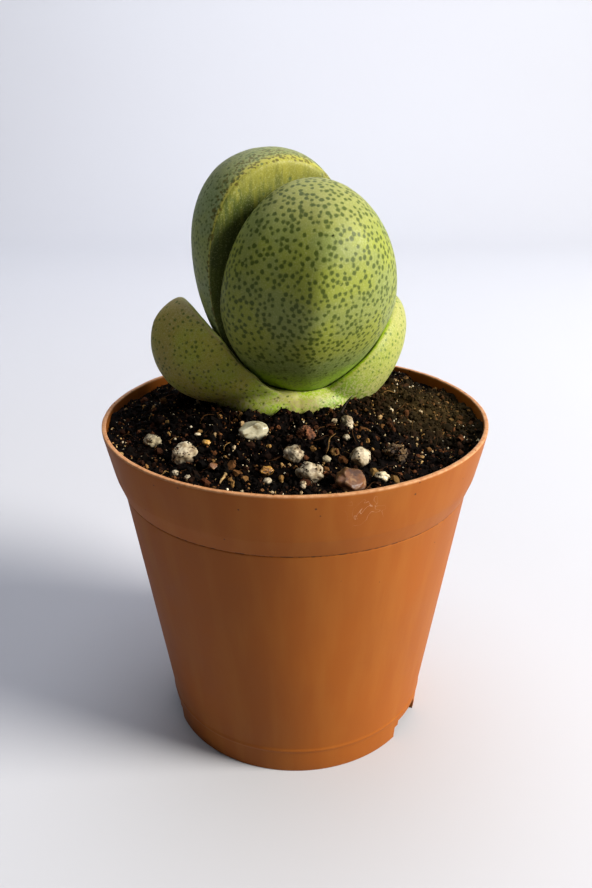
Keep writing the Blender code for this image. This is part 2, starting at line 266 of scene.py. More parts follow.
def makeFloor():         # one sheet of pale paper, curved up behind
    bend, radius = paper["bend"], paper["radius"]
    back = [(paper["front"], 0.0), (bend, 0.0)]
    for i in range(1, 25):
        angle = math.pi / 2 * i / 24
        back.append((bend + radius * math.sin(angle), radius * (1 - math.cos(angle))))
    back.append((back[-1][0], paper["height"]))
    half = paper["width"] / 2
    points = [(side * half, y, z) for y, z in back for side in (-1, 1)]
    faces = [(2 * i, 2 * i + 1, 2 * i + 3, 2 * i + 2) for i in range(len(back) - 1)]
    mesh = bpy.data.meshes.new("paperFloor")
    mesh.from_pydata(points, [], faces)
    mesh.shade_smooth()
    floor = newObject("paperFloor", mesh)
    # matt paper: no gloss worth seeing, a trace of unevenness
    material, tree, shader, place = startMaterial("mattPaper", 0.9)
    cloud = addNode(tree, "ShaderNodeTexNoise", {"Vector": place, "Scale": 3.0, "Detail": 2.0})
    tint = addNode(tree, "ShaderNodeValToRGB", {"Fac": cloud},
                   stops=[(0.3, paper["colour"]), (0.7, paper["paleColour"])])
    setInputs(tree, shader, {"Base Color": tint})
    mesh.materials.append(material)


# Pot

pot = {
    "sides": 288, "rimRadius": 27.5, "rimTop": 48.9, "collarRadius": 26.2, "collarBottom": 42.2,
    "bodyRadius": 25.1, "bodyTop": 39.4, "footRadius": 20.0, "footTop": 4.0, "footDraft": 0.3,
    "wall": 0.8, "rimWall": 0.6, "edge": 0.16, "floorUnder": 3.2, "floorThick": 0.8,
    "notchWidth": 7.5, "notchHeight": 2.8, "notchRound": 0.8, "notches": (-30, 194),
    "drainRadius": 2.5, "drainCircle": 11.0, "drains": (37, 127, 217, 307),
    "waveFrom": 46, "waveRadius": 27,    # the rim's waves start at that height and are drawn on that circle
    "turnRadius": 15.0,  # of the guide circle, anywhere between the axis and the wall
}


def potRadius(height):   # of the outer wall, all in mm
    heights = (0, pot["footTop"], pot["bodyTop"], pot["collarBottom"], pot["rimTop"])
    radii = (pot["footRadius"] - pot["footDraft"], pot["footRadius"], pot["bodyRadius"],
             pot["collarRadius"], pot["rimRadius"])
    return np.interp(height, heights, radii)


def rounded(points, radius, cuts=5):
    # the same outline with each inner corner turned into a small curve
    smooth = [points[0]]
    for before, corner, after in zip(points, points[1:], points[2:]):
        before, corner, after = (Vector(p) for p in (before, corner, after))
        reach = min(radius, (before - corner).length * 0.45, (after - corner).length * 0.45)
        start = corner + (before - corner).normalized() * reach
        end = corner + (after - corner).normalized() * reach
        for i in range(cuts + 1):
            t = i / cuts
            smooth.append(tuple(start * (1 - t) ** 2 + corner * 2 * t * (1 - t) + end * t * t))
    return smooth + [points[-1]]


def spaced(points, most):                # extra points so that no stretch is longer than that
    dense = [points[0]]
    for start, end in zip(points, points[1:]):
        count = max(1, math.ceil(math.dist(start, end) / most))
        for i in range(1, count + 1):
            dense.append(tuple(np.array(start) + (np.array(end) - np.array(start)) * i / count))
    return dense


def potOutline():
    wall, floorTop, underneath = pot["wall"], pot["floorUnder"] + pot["floorThick"], pot["floorUnder"]
    top, rim, mouth = pot["rimTop"], pot["rimRadius"], pot["rimRadius"] - pot["rimWall"]
    collar, under, body, crease = pot["collarRadius"], pot["collarBottom"], pot["bodyRadius"], pot["bodyTop"]
    foot, low = pot["footRadius"], pot["footTop"]
    ringInside = potRadius(0) - 1.5 * wall
    inner = [(0, floorTop)] + [(potRadius(z) - wall, z) for z in (floorTop, crease, under)]
    lip = [(mouth, top - 2.2), (mouth, top), (rim, top), (rim - 0.03, top - 0.5)]
    outer = [(collar + 0.1, under + 0.6), (collar - 0.1, under - 0.2), (body + 0.1, crease + 0.15),
             (body - 0.1, crease), (body - 0.03, crease - 0.2),
             (foot + 0.03, low + 0.4), (foot + 0.13, low), (foot - 0.03, low - 0.4)]
    ring = [(potRadius(0), 0), (ringInside, 0), (ringInside, underneath), (0, underneath)]
    return spaced(rounded(inner + lip + outer + ring, pot["edge"], 4), 1.2)


def turningTree():
    # a lathe: the outline, drawn about a guide circle, is swept round it and welded on the axis
    tree, given = geometryTree("turnOutline", {
        "Sides": "Int", "Radius": "Float", "Weld": "Float", "Finish": "Material"})
    outline = addNode(tree, "GeometryNodeMeshToCurve", {"Mesh": given["Geometry"]})
    circle = addNode(tree, "GeometryNodeCurvePrimitiveCircle", {
        "Resolution": given["Sides"], "Radius": given["Radius"]})
    body = addNode(tree, "GeometryNodeCurveToMesh", {"Curve": circle, "Profile Curve": outline})
    weld = addNode(tree, "GeometryNodeMergeByDistance", {"Geometry": body, "Distance": given["Weld"]})
    return endTree(tree, weld, given["Finish"])


def turned(name, outline, sides, material):
    # outline: points (radius, height) in mm
    mesh = bpy.data.meshes.new(name)
    guide = pot["turnRadius"]
    mesh.from_pydata([((r - guide) * mm, -z * mm, 0) for r, z in outline],
                     [(i, i + 1) for i in range(len(outline) - 1)], [])
    piece = newObject(name, mesh)
    runTree(piece, turning, Sides=sides, Radius=guide * mm, Weld=0.00001, Finish=material)
    bm = bmesh.new()
    bm.from_mesh(piece.data)
    bmesh.ops.recalc_face_normals(bm, faces=bm.faces)
    bm.to_mesh(piece.data)
    bm.free()
    piece.data.shade_smooth()
    return piece


def combine(piece, other, operation):    # a Boolean with another object, which it uses up
    modifier = piece.modifiers.new("combine", "BOOLEAN")
    modifier.operation, modifier.solver, modifier.object = operation, "EXACT", other
    applied(piece)
    bpy.data.objects.remove(other)


def cutAway(piece, bm):
    combine(piece, newObject("cutter", meshFrom("cutter", bm, smooth=False)), "DIFFERENCE")


def polar(radius, azimuth, height=0.0):
    angle = math.radians(azimuth)
    return Vector((radius * math.cos(angle), radius * math.sin(angle), height))


def makePot():
    plastic = pottedPlastic()
    piece = turned("nurseryPot", potOutline(), pot["sides"], plastic)
    for azimuth in pot["drains"]:
        bm = bmesh.new()
        bmesh.ops.create_cone(bm, cap_ends=True, segments=40, radius1=pot["drainRadius"] * mm,
                              radius2=pot["drainRadius"] * mm, depth=4 * pot["floorThick"] * mm)
        middle = pot["floorUnder"] + pot["floorThick"] / 2
        bm.transform(Matrix.Translation(polar(pot["drainCircle"] * mm, azimuth, middle * mm)))
        cutAway(piece, bm)
    for azimuth in pot["notches"]:
        bm = bmesh.new()
        bmesh.ops.create_cube(bm, size=1)
        size = Vector((8 * pot["wall"], pot["notchWidth"], 2 * pot["notchHeight"])) * mm
        bmesh.ops.scale(bm, vec=size, verts=bm.verts)
        along = [e for e in bm.edges if abs(e.verts[0].co.x - e.verts[1].co.x) > pot["wall"] * mm]
        bmesh.ops.bevel(bm, geom=along, offset=pot["notchRound"] * mm, segments=6, affect="EDGES")
        turn = Matrix.Rotation(math.radians(azimuth), 4, "Z")
        bm.transform(Matrix.Translation(polar(pot["footRadius"] * mm, azimuth)) @ turn)
        cutAway(piece, bm)
    # a trimmed rim is never quite level, and a thin wall is never quite round
    points = corners(piece.data)
    around = np.arctan2(points[:, 1], points[:, 0])
    high = step(pot["waveFrom"] * mm, pot["rimTop"] * mm, points[:, 2])
    ring = np.stack([np.cos(around), np.sin(around), np.zeros(len(around))], 1) * pot["waveRadius"] * mm
    rough = ripple(ring, 1.1 * mm, 3.0) * 0.5 + ripple(ring, 4.0 * mm, 8.0)
    points[:, 2] -= high * (0.07 + 0.06 * rough) * mm
    points[:, :2] *= (1 - high * 0.0016 * (1 + ripple(ring, 16 * mm, 5.0)))[:, None]
    setCorners(piece.data, points)
    piece.data.set_sharp_from_angle(angle=math.radians(50))
    wear(piece, plastic, "pot_plastic", "pot")


potLook = {              # colours, and mm
    "plain": "#8b4b14", "cloud": "#924f16", "streak": "#9c5f22", "trimmed": "#cf9f74", "speck": "#5b3219",
    # crease: the colour of the painted shade in the crease under the collar
    "scuff": "#b98e6c", "crease": "#4a2814", "trimmedHeights": (48.5, 48.72),
    "scuffPlace": (8.3, -25.6, 45.8), "scuffReach": (0.8, 3.0), "creaseReach": 0.13,
}


def pottedPlastic():
    # polypropylene, injection moulded and coloured through: a soft even gloss with faint flow streaks
    # that run with the draw, paler where the rim was trimmed and scuffed, and specks of dried soil
    material, tree, shader, place = startMaterial("mouldedPolypropylene", 0.42, 1.49)
    look = potLook
    height = addNode(tree, "ShaderNodeSeparateXYZ", {"Vector": place}).outputs["Z"]
    drawn = addNode(tree, "ShaderNodeMapping", {"Vector": place, "Scale": (1, 1, 0.05)})
    streaks, cloud, chalk = (
        addNode(tree, "ShaderNodeTexNoise", {"Vector": vector, "Scale": scale, "Detail": detail})
        for vector, scale, detail in ((drawn, 420.0, 4.0), (place, 70.0, 3.0), (place, 1500.0, 3.0)))
    base = addNode(tree, "ShaderNodeValToRGB", {"Fac": cloud},
                   stops=[(0.35, look["plain"]), (0.65, look["cloud"])])
    faint = addNode(tree, "ShaderNodeMapRange", {"Value": streaks, 1: 0.42, 2: 0.75, 3: 0.0, 4: 0.45})
    # pale trimmed edge, only the topmost 0.4 mm
    low, high = look["trimmedHeights"]
    edge = addNode(tree, "ShaderNodeMapRange", {"Value": height, 1: low * mm, 2: high * mm})
    chalky = addNode(tree, "ShaderNodeMath", {0: edge, 1: chalk}, operation="MULTIPLY")
    # specks of soil, 0.1 to 0.3 mm, most of them near the rim
    grit = addNode(tree, "ShaderNodeTexVoronoi", {"Vector": place, "Scale": 420.0, "Randomness": 1.0})
    most = addNode(tree, "ShaderNodeMapRange", {"Value": height, 1: 30 * mm, 2: 49 * mm, 3: 0.02, 4: 0.07})
    speck = addNode(tree, "ShaderNodeMath", {0: grit, 1: most}, operation="LESS_THAN")
    # thin pale scuffs below the rim on the right, left by handling
    patch = addNode(tree, "ShaderNodeVectorMath", {0: place, 1: [v * mm for v in look["scuffPlace"]]},
                    operation="DISTANCE")
    near, far = look["scuffReach"]
    inPatch = addNode(tree, "ShaderNodeMapRange", {"Value": patch, 1: near * mm, 2: far * mm, 3: 1.0, 4: 0.0})
    curl = addNode(tree, "ShaderNodeTexNoise", {
        "Vector": place, "Scale": 420.0, "Detail": 2.0, "Distortion": 0.6})
    ring = addNode(tree, "ShaderNodeMath", {0: curl, 1: 0.5}, operation="SUBTRACT")
    line = addNode(tree, "ShaderNodeMath", {0: ring}, operation="ABSOLUTE")
    thin = addNode(tree, "ShaderNodeMapRange", {"Value": line, 1: 0.0, 2: 0.009, 3: 0.75, 4: 0.0})
    scuff = addNode(tree, "ShaderNodeMath", {0: thin, 1: inPatch}, operation="MULTIPLY")
    # painted shade: a thin dark line in the crease under the collar, broken here and there
    inCrease = addNode(tree, "ShaderNodeMath", {
        0: height, 1: (pot["bodyTop"] + 0.02) * mm, 2: look["creaseReach"] * mm}, operation="COMPARE")
    broken = addNode(tree, "ShaderNodeMapRange", {"Value": chalk, 1: 0.42, 2: 0.6, 3: 0.15, 4: 0.85})
    creaseShade = addNode(tree, "ShaderNodeMath", {0: inCrease, 1: broken}, operation="MULTIPLY")
    colour = layered(tree, base, [
        (look["streak"], faint), (look["trimmed"], chalky), (look["speck"], speck), (look["scuff"], scuff),
        (look["crease"], creaseShade)])
    worn = addNode(tree, "ShaderNodeMapRange", {"Value": cloud, 1: 0.3, 2: 0.7, 3: 0.5, 4: 0.64})
    # the mould's fine spark texture, about 0.2 mm, drawn a little coarser than real so that it shows
    spark = addNode(tree, "ShaderNodeTexNoise", {"Vector": place, "Scale": 2600.0, "Detail": 2.0})
    relief = addNode(tree, "ShaderNodeBump", {"Height": spark, "Strength": 0.25, "Distance": 0.02 * mm})
    setInputs(tree, shader, {
        "Base Color": colour, "Roughness": worn, "Specular IOR Level": 0.14, "Normal": relief})
    return material


# Leaves

# Each leaf is an egg with one flat face. Lengths in mm, angles in degrees; the azimuth is the way its
# back faces, the lean is away from the plant's axis. blunt and point shape the outline at base and tip.
leaves = {
    "innerFront": dict(
        base=(1.2, -0.2, 51.7), azimuth=-61, lean=8.9, twist=2.6, length=30.2, width=12.25, depth=10.8,
        inside=8.6, egg=-0.09, deepening=0.25, insideDeepening=0, blunt=1.64, insideBlunt=4, point=2.1,
        face=2.6, tilt=-0.5, sag=0, bow=0, corner=0.3,
        flank=0.085, flankTurn=52, ridge=0.5, crest=-0.45, crestRise=0.05),
    "innerBack": dict(
        base=(-0.6, 1.0, 52.4), azimuth=119, lean=7.1, twist=-4.1, length=32.7, width=11.3, depth=9.0,
        inside=10.6, egg=0.08, deepening=0.10, insideDeepening=0, blunt=2.0, insideBlunt=4, point=2.19,
        face=2.3, tilt=3.8, sag=0, bow=0, corner=0.3, flank=0),
    "outerLeft": dict(
        base=(0.5, 4.8, 50.7), azimuth=207.5, lean=59.8, twist=10.7, length=23.8, width=9.4, depth=7.1,
        inside=7.1, egg=-0.27, deepening=0.62, insideDeepening=0.62, blunt=2.16, insideBlunt=2.16,
        point=1.6, face=1.3, tilt=4.7, sag=-1.0, bow=-0.2, corner=0.4, flank=0),
    "outerRight": dict(
        base=(-1.3, 2.4, 49.4), azimuth=25, lean=48.9, twist=0.9, length=22.7, width=9.6, depth=7.8,
        inside=7.8, egg=-0.05, deepening=-0.1, insideDeepening=-0.1, blunt=2.08, insideBlunt=2.08,
        point=1.8, face=1.4, tilt=0.1, sag=0.1, bow=0.85, corner=0.3, flank=0),
}
footDepth = -1.0         # mm; near its base no face lies deeper behind the leaf's axis


def leafPoints(leaf, points):
    # points of the unit sphere, z from base to tip and +y to the face, to the leaf's own axes in mm
    x, y, z = np.clip(points, -1, 1).T
    around = np.sqrt(np.maximum(1e-12, 1 - z * z))
    across, outward = x / around, y / around

    def girth(blunt):
        power = np.where(z < 0, blunt, leaf["point"])
        return np.maximum(0, 1 - np.abs(z) ** power) ** (1 / power)

    side = leaf["width"] * girth(leaf["blunt"]) * across * (1 + leaf["egg"] * z)
    back = leaf["depth"] * girth(leaf["blunt"]) * outward * (1 + leaf["deepening"] * z)
    if leaf["flank"]:                                    # one side of the back is pressed nearly flat
        turn = math.radians(leaf["flankTurn"])
        wide = leaf["width"] * girth(leaf["blunt"]) * (1 + leaf["egg"] * z)
        deep = leaf["depth"] * girth(leaf["blunt"]) * (1 + leaf["deepening"] * z)
        reach = np.hypot(wide * math.sin(turn), deep * math.cos(turn))
        over = -side * math.sin(turn) - np.minimum(back, 0) * math.cos(turn) - reach * (1 - leaf["flank"])
        press = leaf["ridge"] * np.logaddexp(0, over / leaf["ridge"])
        side = side + press * math.sin(turn)
        back = back + press * math.cos(turn)
        # and the ridge beside it stands out a little
        crest = np.exp(-((across - leaf["crest"]) / 0.3) ** 2) * np.exp(-((z - 0.05) / 0.75) ** 4)
        back = back * (1 + leaf["crestRise"] * crest)
    front = leaf["inside"] * girth(leaf["insideBlunt"]) * outward * (1 + leaf["insideDeepening"] * z)
    depth = np.where(outward < 0, back, front)
    face = np.maximum(leaf["face"] + leaf["tilt"] * z + leaf["sag"] * (1 - z * z), footDepth)
    depth = face - leaf["corner"] * np.logaddexp(0, (face - depth) / leaf["corner"])
    rise = (z + 1) / 2
    return np.stack([side, depth - leaf["bow"] * rise ** 2, leaf["length"] * rise], 1)


def leafAxes(leaf):      # rows: across, towards the face, base to tip
    azimuth, lean, twist = (math.radians(leaf[key]) for key in ("azimuth", "lean", "twist"))
    away = Vector((math.cos(azimuth), math.sin(azimuth), 0))
    up = Vector((0, 0, 1))
    stem = away * math.sin(lean) + up * math.cos(lean)
    inner = up * math.sin(lean) - away * math.cos(lean)
    side = inner.cross(stem)
    across = side * math.cos(twist) + stem * math.sin(twist)
    length = stem * math.cos(twist) - side * math.sin(twist)
    return np.array([across, inner, length])


def leafMesh(name, detail, grow=0.0):
    leaf = leaves[name]
    bm = bmesh.new()
    bmesh.ops.create_icosphere(bm, subdivisions=detail, radius=1)
    mesh = meshFrom(name, bm)
    places = leafPoints(leaf, corners(mesh)) @ leafAxes(leaf) + np.array(leaf["base"])
    setCorners(mesh, places * mm)
    if grow:
        setCorners(mesh, corners(mesh) + pointNormals(mesh) * grow * mm)
    return mesh


def leafReading(mesh, name):
    # for each point: how far up the leaf it lies, and how squarely it faces the way of the flat face
    leaf = leaves[name]
    axes = leafAxes(leaf)
    own = (corners(mesh) / mm - np.array(leaf["base"])) @ axes.T
    return np.clip(own[:, 2] / leaf["length"], 0, 1), pointNormals(mesh) @ axes[1]


def scattered(tree, given):              # points over the surface with room between them
    where = addNode(tree, "GeometryNodeInputNamedAttribute", {"Name": given["Where"]}, data_type="FLOAT")
    return addNode(tree, "GeometryNodeDistributePointsOnFaces", {
        "Mesh": given["Geometry"], "Distance Min": given["Spacing"], "Density Max": given["Density"],
        "Density Factor": where, "Seed": given["Seed"]}, distribute_method="POISSON")


def spotTree():
    # dots scattered over a skin with room between them; each point of the skin learns how far it is
    # from the edge of the nearest dot, below zero inside, in mm
    tree, given = geometryTree("skinDots", {
        "Spacing": "Float", "Density": "Float", "Smallest": "Float", "Largest": "Float", "Seed": "Int",
        "Where": "String", "Result": "String", "Finish": "Material"})
    dots = scattered(tree, given)
    radius = addNode(tree, "FunctionNodeRandomValue", {
        2: given["Smallest"], 3: given["Largest"], "Seed": given["Seed"]}, data_type="FLOAT")
    sized = addNode(tree, "GeometryNodeStoreNamedAttribute", {
        "Geometry": dots, "Name": "radius", "Value": radius}, data_type="FLOAT", domain="POINT")
    away = addNode(tree, "GeometryNodeProximity", {0: sized}, target_element="POINTS")
    nearest = addNode(tree, "GeometryNodeSampleNearest", {0: sized}, domain="POINT")
    kept = addNode(tree, "GeometryNodeInputNamedAttribute", {"Name": "radius"}, data_type="FLOAT")
    its = addNode(tree, "GeometryNodeSampleIndex", {
        "Geometry": sized, "Value": kept, "Index": nearest}, data_type="FLOAT", domain="POINT")
    gap = addNode(tree, "ShaderNodeMath", {0: away.outputs["Distance"], 1: its}, operation="SUBTRACT")
    inMm = addNode(tree, "ShaderNodeMath", {0: gap, 1: 1 / mm}, operation="MULTIPLY")
    store = addNode(tree, "GeometryNodeStoreNamedAttribute", {
        "Geometry": given["Geometry"], "Name": given["Result"], "Value": inMm},
        data_type="FLOAT", domain="POINT")
    return endTree(tree, store, given["Finish"])


def addSpots(piece, material, result, where, dots):
    keepValue(piece.data, "where", where)
    runTree(piece, spots, Where="where", Result=result, Finish=material, Spacing=dots["spacing"] * mm,
            Density=dots["density"] / mm ** 2, Smallest=dots["smallest"] * mm, Largest=dots["largest"] * mm,
            Seed=dots["seed"])


innerDots = {            # mm, per mm2
    "innerFront": dict(spacing=0.62, density=3.6, smallest=0.22, largest=0.34, seed=11),
    "innerBack": dict(spacing=0.46, density=4.6, smallest=0.13, largest=0.23, seed=12),
    "fine": dict(spacing=0.34, density=13.0, smallest=0.1, largest=0.18, seed=13),
    "margin": dict(spacing=0.4, density=12.0, smallest=0.13, largest=0.25, seed=14),
}


swells = {"inner": 0.05, "outer": 0.06, "lessFrom": 80, "lessBy": 85}    # mm; the tips keep within their height


def makeInnerLeaves():
    detail = 7
    for name, node, piece in (("innerFront", "inner_leaf_front", "innerLeafFront"),
                              ("innerBack", "inner_leaf_back", "innerLeafBack")):
        skin = leafSkin(piece + "Skin", innerSkin[name])
        leaf = newObject(piece, leafMesh(name, detail))
        mesh = leaf.data
        unevenSkin(mesh, swells["inner"])
        points = corners(mesh)
        points[:, 2] -= swells["inner"] * mm * step(swells["lessFrom"], swells["lessBy"], points[:, 2] / mm)
        setCorners(mesh, points)
        rise, facing = leafReading(mesh, name)
        keepValue(mesh, "rise", rise)
        keepValue(mesh, "facing", facing)
        onBack = 1 - step(0.5, 0.65, facing)
        low = 1 - step(0.16, 0.38, rise + 0.05 * ripple(corners(mesh), 4 * mm, 2.0))
        margin = step(0.3, 0.4, facing) * (1 - step(0.8, 0.93, facing))
        addSpots(leaf, skin, "spotGap", (onBack + (1 - onBack) * 0.06) * (1 - low), innerDots[name])
        addSpots(leaf, skin, "fineGap", onBack * low * step(0.07, 0.2, rise), innerDots["fine"])
        addSpots(leaf, skin, "marginGap", margin, innerDots["margin"])
        wear(leaf, skin, "inner_leaf_skin", node)


def unevenSkin(mesh, height):            # the slight swells of a plump leaf
    points, normals = corners(mesh), pointNormals(mesh)
    swell = ripple(points, 5 * mm, 4.0) + 0.4 * ripple(points, 1.7 * mm, 9.0)
    setCorners(mesh, points + normals * (swell * height * mm)[:, None])


innerSkin = {
    # face is partly painted shade in the cleft, faceTip partly painted light near the tip
    "innerFront": dict(
        back="#798340", cloud="#828836", lit="#828b2c", low="#61762a", bloom="#6c7a45", base="#80a200",
        tip="#8b8c4a", face="#656a25", faceTip="#878635", faceLine="#525c1e", margin="#999a52",
        marginDot="#5a5a24", dot="#3b4906"),
    "innerBack": dict(
        back="#7c8a5a", cloud="#848e59", lit="#838f4b", low="#6c7d38", bloom="#798860", base="#5e6d10",
        tip="#787c48", face="#475219", faceTip="#969132", faceLine="#39431a", margin="#9e983b",
        marginDot="#534c14", dot="#4d5a2c"),
}


def leafSkin(name, look):
    # leaf of a stone-like succulent: a thick waxy skin over watery tissue. A soft broad gloss under a thin
    # powdery bloom, a little light passing through, and translucent dots, darker and a bit sunken
    material, tree, shader, place = startMaterial(name, 0.55, 1.45)
    value = {key: addNode(tree, "ShaderNodeAttribute", attribute_name=key).outputs["Fac"]
             for key in ("rise", "facing", "spotGap", "fineGap", "marginGap")}
    drawn = addNode(tree, "ShaderNodeMapping", {"Vector": place, "Scale": (1, 1, 0.12)})
    broad, fine, grain, veins = (
        addNode(tree, "ShaderNodeTexNoise", {"Vector": vector, "Scale": scale, "Detail": detail})
        for vector, scale, detail in ((place, 160.0, 3.0), (place, 2000.0, 3.0), (place, 5200.0, 2.0),
                                      (drawn, 1900.0, 2.0)))
    # borders wander: the height up the leaf is pushed about by 3 %, and the edge of a dot by less than 0.1 mm
    cloudy = addNode(tree, "ShaderNodeMapRange", {"Value": broad, 1: 0.3, 2: 0.7, 3: -0.03, 4: 0.03})
    rise = addNode(tree, "ShaderNodeMath", {0: value["rise"], 1: cloudy})
    wander = addNode(tree, "ShaderNodeMapRange", {"Value": fine, 1: 0.25, 2: 0.75, 3: -0.1, 4: 0.1})
    edge = {gap: addNode(tree, "ShaderNodeMath", {0: value[gap], 1: wander})
            for gap in ("spotGap", "fineGap", "marginGap")}
    onFace = (value["facing"], 0.62, 0.8, 0.0, 1.0)
    onBack = (value["facing"], 0.5, 0.7, 1.0, 0.0)
    colour = layered(tree, look["back"], [
        (look["cloud"], [(broad, 0.38, 0.62, 0.0, 1.0)]),
        (look["lit"], [(rise, 0.25, 0.5, 0.0, 1.0), (broad, 0.45, 0.6, 0.0, 0.7)]),
        # greener where less sun reaches, a greyish bloom above that, and most yellow at the very base
        (look["low"], [(rise, 0.16, 0.42, 1.0, 0.0)]),
        (look["bloom"], [(rise, 0.18, 0.26, 0.0, 1.0), (rise, 0.26, 0.4, 1.0, 0.0),
                         (fine, 0.35, 0.65, 0.2, 0.6)]),
        (look["base"], [(rise, 0.12, 0.26, 1.0, 0.0)]),
        (look["tip"], [(rise, 0.82, 0.96, 0.0, 0.8)]),
        # the flat face: olive in the cleft, partly its own colour and partly painted shade where the other leaf
        # shades it, with paler lines that run up it; yellow towards the tip, partly its own colour and partly
        # painted light where the light reaches the top of the face
        (look["face"], [onFace]),
        (look["faceTip"], [onFace, (rise, 0.76, 0.97, 0.0, 1.0)]),
        (look["faceTip"], [onFace, (veins, 0.46, 0.7, 0.0, 0.4), (rise, 0.55, 0.85, 0.1, 1.0)]),
        (look["faceLine"], [onFace, (veins, 0.34, 0.5, 0.5, 0.0), (rise, 0.82, 0.96, 1.0, 0.15)]),
        (look["faceLine"], [onFace, (broad, 0.5, 0.62, 0.0, 0.5), (rise, 0.82, 0.96, 1.0, 0.3)]),
        # powdery grain of the wax, about 0.15 mm, which is as fine as it shows
        ("#a9ac78", [(grain, 0.5, 0.72, 0.0, 0.3)]),
        ("#4c571c", [(grain, 0.46, 0.3, 0.0, 0.22)]),
        # a narrow yellow line round the face, with a chain of small dots
        (look["margin"], [(value["facing"], 0.48, 0.6, 0.0, 0.85), (value["facing"], 0.66, 0.8, 1.0, 0.0)]),
        (look["marginDot"], [(edge["marginGap"], -0.06, 0.06, 0.9, 0.0)]),
        (look["dot"], [(edge["spotGap"], -0.12, 0.1, 0.92, 0.0)]),
        (look["dot"], [(edge["fineGap"], -0.07, 0.07, 0.62, 0.0), onBack]),
    ])
    rough = addNode(tree, "ShaderNodeMapRange", {"Value": fine, 1: 0.3, 2: 0.7, 3: 0.48, 4: 0.62})
    sunk = addNode(tree, "ShaderNodeMapRange", {"Value": edge["spotGap"], 1: -0.1, 2: 0.1, 3: -0.6, 4: 0.0})
    height = addNode(tree, "ShaderNodeMath", {0: fine, 1: 0.25, 2: sunk}, operation="MULTIPLY_ADD")
    relief = addNode(tree, "ShaderNodeBump", {"Height": height, "Strength": 0.5, "Distance": 0.05 * mm})
    setInputs(tree, shader, {"Base Color": colour, "Roughness": rough, "Normal": relief, **glow})
    return material


glow = {                 # light that passes through wet tissue, and the bloom's faint sheen
    "Subsurface Weight": 0.12, "Subsurface Radius": (0.9, 1.0, 0.22), "Subsurface Scale": 1.0 * mm,
    "Specular IOR Level": 0.3, "Sheen Weight": 0.04, "Sheen Roughness": 0.4,
    "Sheen Tint": toLinear("#dfe3c4"),
}


outerPair = {
    "sheathCentre": (-1.0, 3.0, 51.2), "sheathRadii": (11.6, 10.0, 4.2), "sheathAzimuth": 22,
    "seamPoint": (0.6, -6.5), "seamAzimuth": -75, "seamDepth": 0.05, "seamWidth": 0.4,
    "voxel": 0.2, "room": 0.12, "leftRoom": 0.45, "softening": 6, "plump": 0.04,
    "dots": dict(spacing=0.6, density=3.2, smallest=0.14, largest=0.24, seed=31),
}
outerSkin = {
    # the left leaf's face is paler than its own colour: painted light on its lip
    "left": dict(back="#99a231", cloud="#a29c3c", low="#a2bf38", tip="#8c7a3e", face="#bcc25c",
                 margin="#a08c58", dot="#4a5816"),
    "right": dict(back="#84902e", cloud="#8f943f", low="#779422", tip="#97955a", face="#86a200",
                  margin="#989c38", dot="#526618"),
}


def makeOuterLeaves():
    detail = 6
    pair = newObject("outerLeafPair", leafMesh("outerLeft", detail, outerPair["plump"]))
    bm = bmesh.new()
    bmesh.ops.create_uvsphere(bm, u_segments=96, v_segments=48, radius=mm)
    bmesh.ops.scale(bm, vec=outerPair["sheathRadii"], verts=bm.verts)
    turn = Matrix.Rotation(math.radians(outerPair["sheathAzimuth"]), 4, "Z")
    bm.transform(Matrix.Translation(Vector(outerPair["sheathCentre"]) * mm) @ turn)
    combine(pair, newObject("sheath", meshFrom("sheath", bm)), "UNION")
    combine(pair, newObject("outerRight", leafMesh("outerRight", detail, outerPair["plump"])), "UNION")
    remesh(pair, outerPair["voxel"] * 1.4, 4)            # the pair alone first, to round its hollows
    for name, leftRoom in (("innerFront", outerPair["leftRoom"]), ("innerBack", 0.0)):
        room = leafMesh(name, detail)
        points = corners(room)
        # the left leaf stands off the front one towards its tip, which leaves a dark gap and a rounded lip
        off = step(53.2, 57.5, points[:, 2] / mm) * step(3.5, -4.5, points[:, 0] / mm)
        setCorners(room, points + pointNormals(room) * (outerPair["room"] + leftRoom * off)[:, None] * mm)
        bm = bmesh.new()
        bm.from_mesh(room)
        cutAway(pair, bm)
    remesh(pair, outerPair["voxel"] * (1), outerPair["softening"])
    mesh = pair.data
    # where the two leaves meet in front the left one's lip ends in a roll, and the other comes out behind it
    seam = math.radians(outerPair["seamAzimuth"])
    across = Vector((-math.sin(seam), math.cos(seam), 0))
    points, normals = corners(mesh), pointNormals(mesh)
    offset = (points - np.array((*outerPair["seamPoint"], 0)) * mm) @ np.array(across) / mm
    wobble = offset + 0.3 * ripple(points, 2 * mm, 6.0)
    inFront = step(0, 3 * mm, -points[:, 1] - 2 * mm) * (1 - step(52.5, 54, points[:, 2] / mm))
    roll = np.exp(-((wobble + 1.1) / 0.9) ** 2) - np.exp(-((wobble - 0.15) / outerPair["seamWidth"]) ** 2)
    setCorners(mesh, points + normals * (roll * inFront * outerPair["seamDepth"] * mm)[:, None])
    unevenSkin(mesh, swells["outer"])
    right = step(-0.8, 0.8, wobble)                      # the right leaf lies on the far side of the seam
    readings = [leafReading(mesh, name) for name in ("outerLeft", "outerRight")]
    rise, facing = (readings[0][i] * (1 - right) + readings[1][i] * right for i in (0, 1))
    scar = np.exp(-((wobble - 0.5) / 2.2) ** 2) * inFront * (1 - step(51.6, 54.0, points[:, 2] / mm))
    for name, reading in (("rise", rise), ("facing", facing), ("right", right), ("scar", scar)):
        keepValue(mesh, name, reading)
    skin = outerLeafSkin()
    low = 1 - step(0.25, 0.5, rise)
    buried = step(46, 49, corners(mesh)[:, 2] / mm)
    where = (1 - step(0.45, 0.7, facing)) * (1 - 0.4 * low) * buried * (0.75 + 0.25 * right)
    addSpots(pair, skin, "spotGap", where, outerPair["dots"])
    wear(pair, skin, "outer_leaf_skin", "outer_leaf_left", "outer_leaf_right")


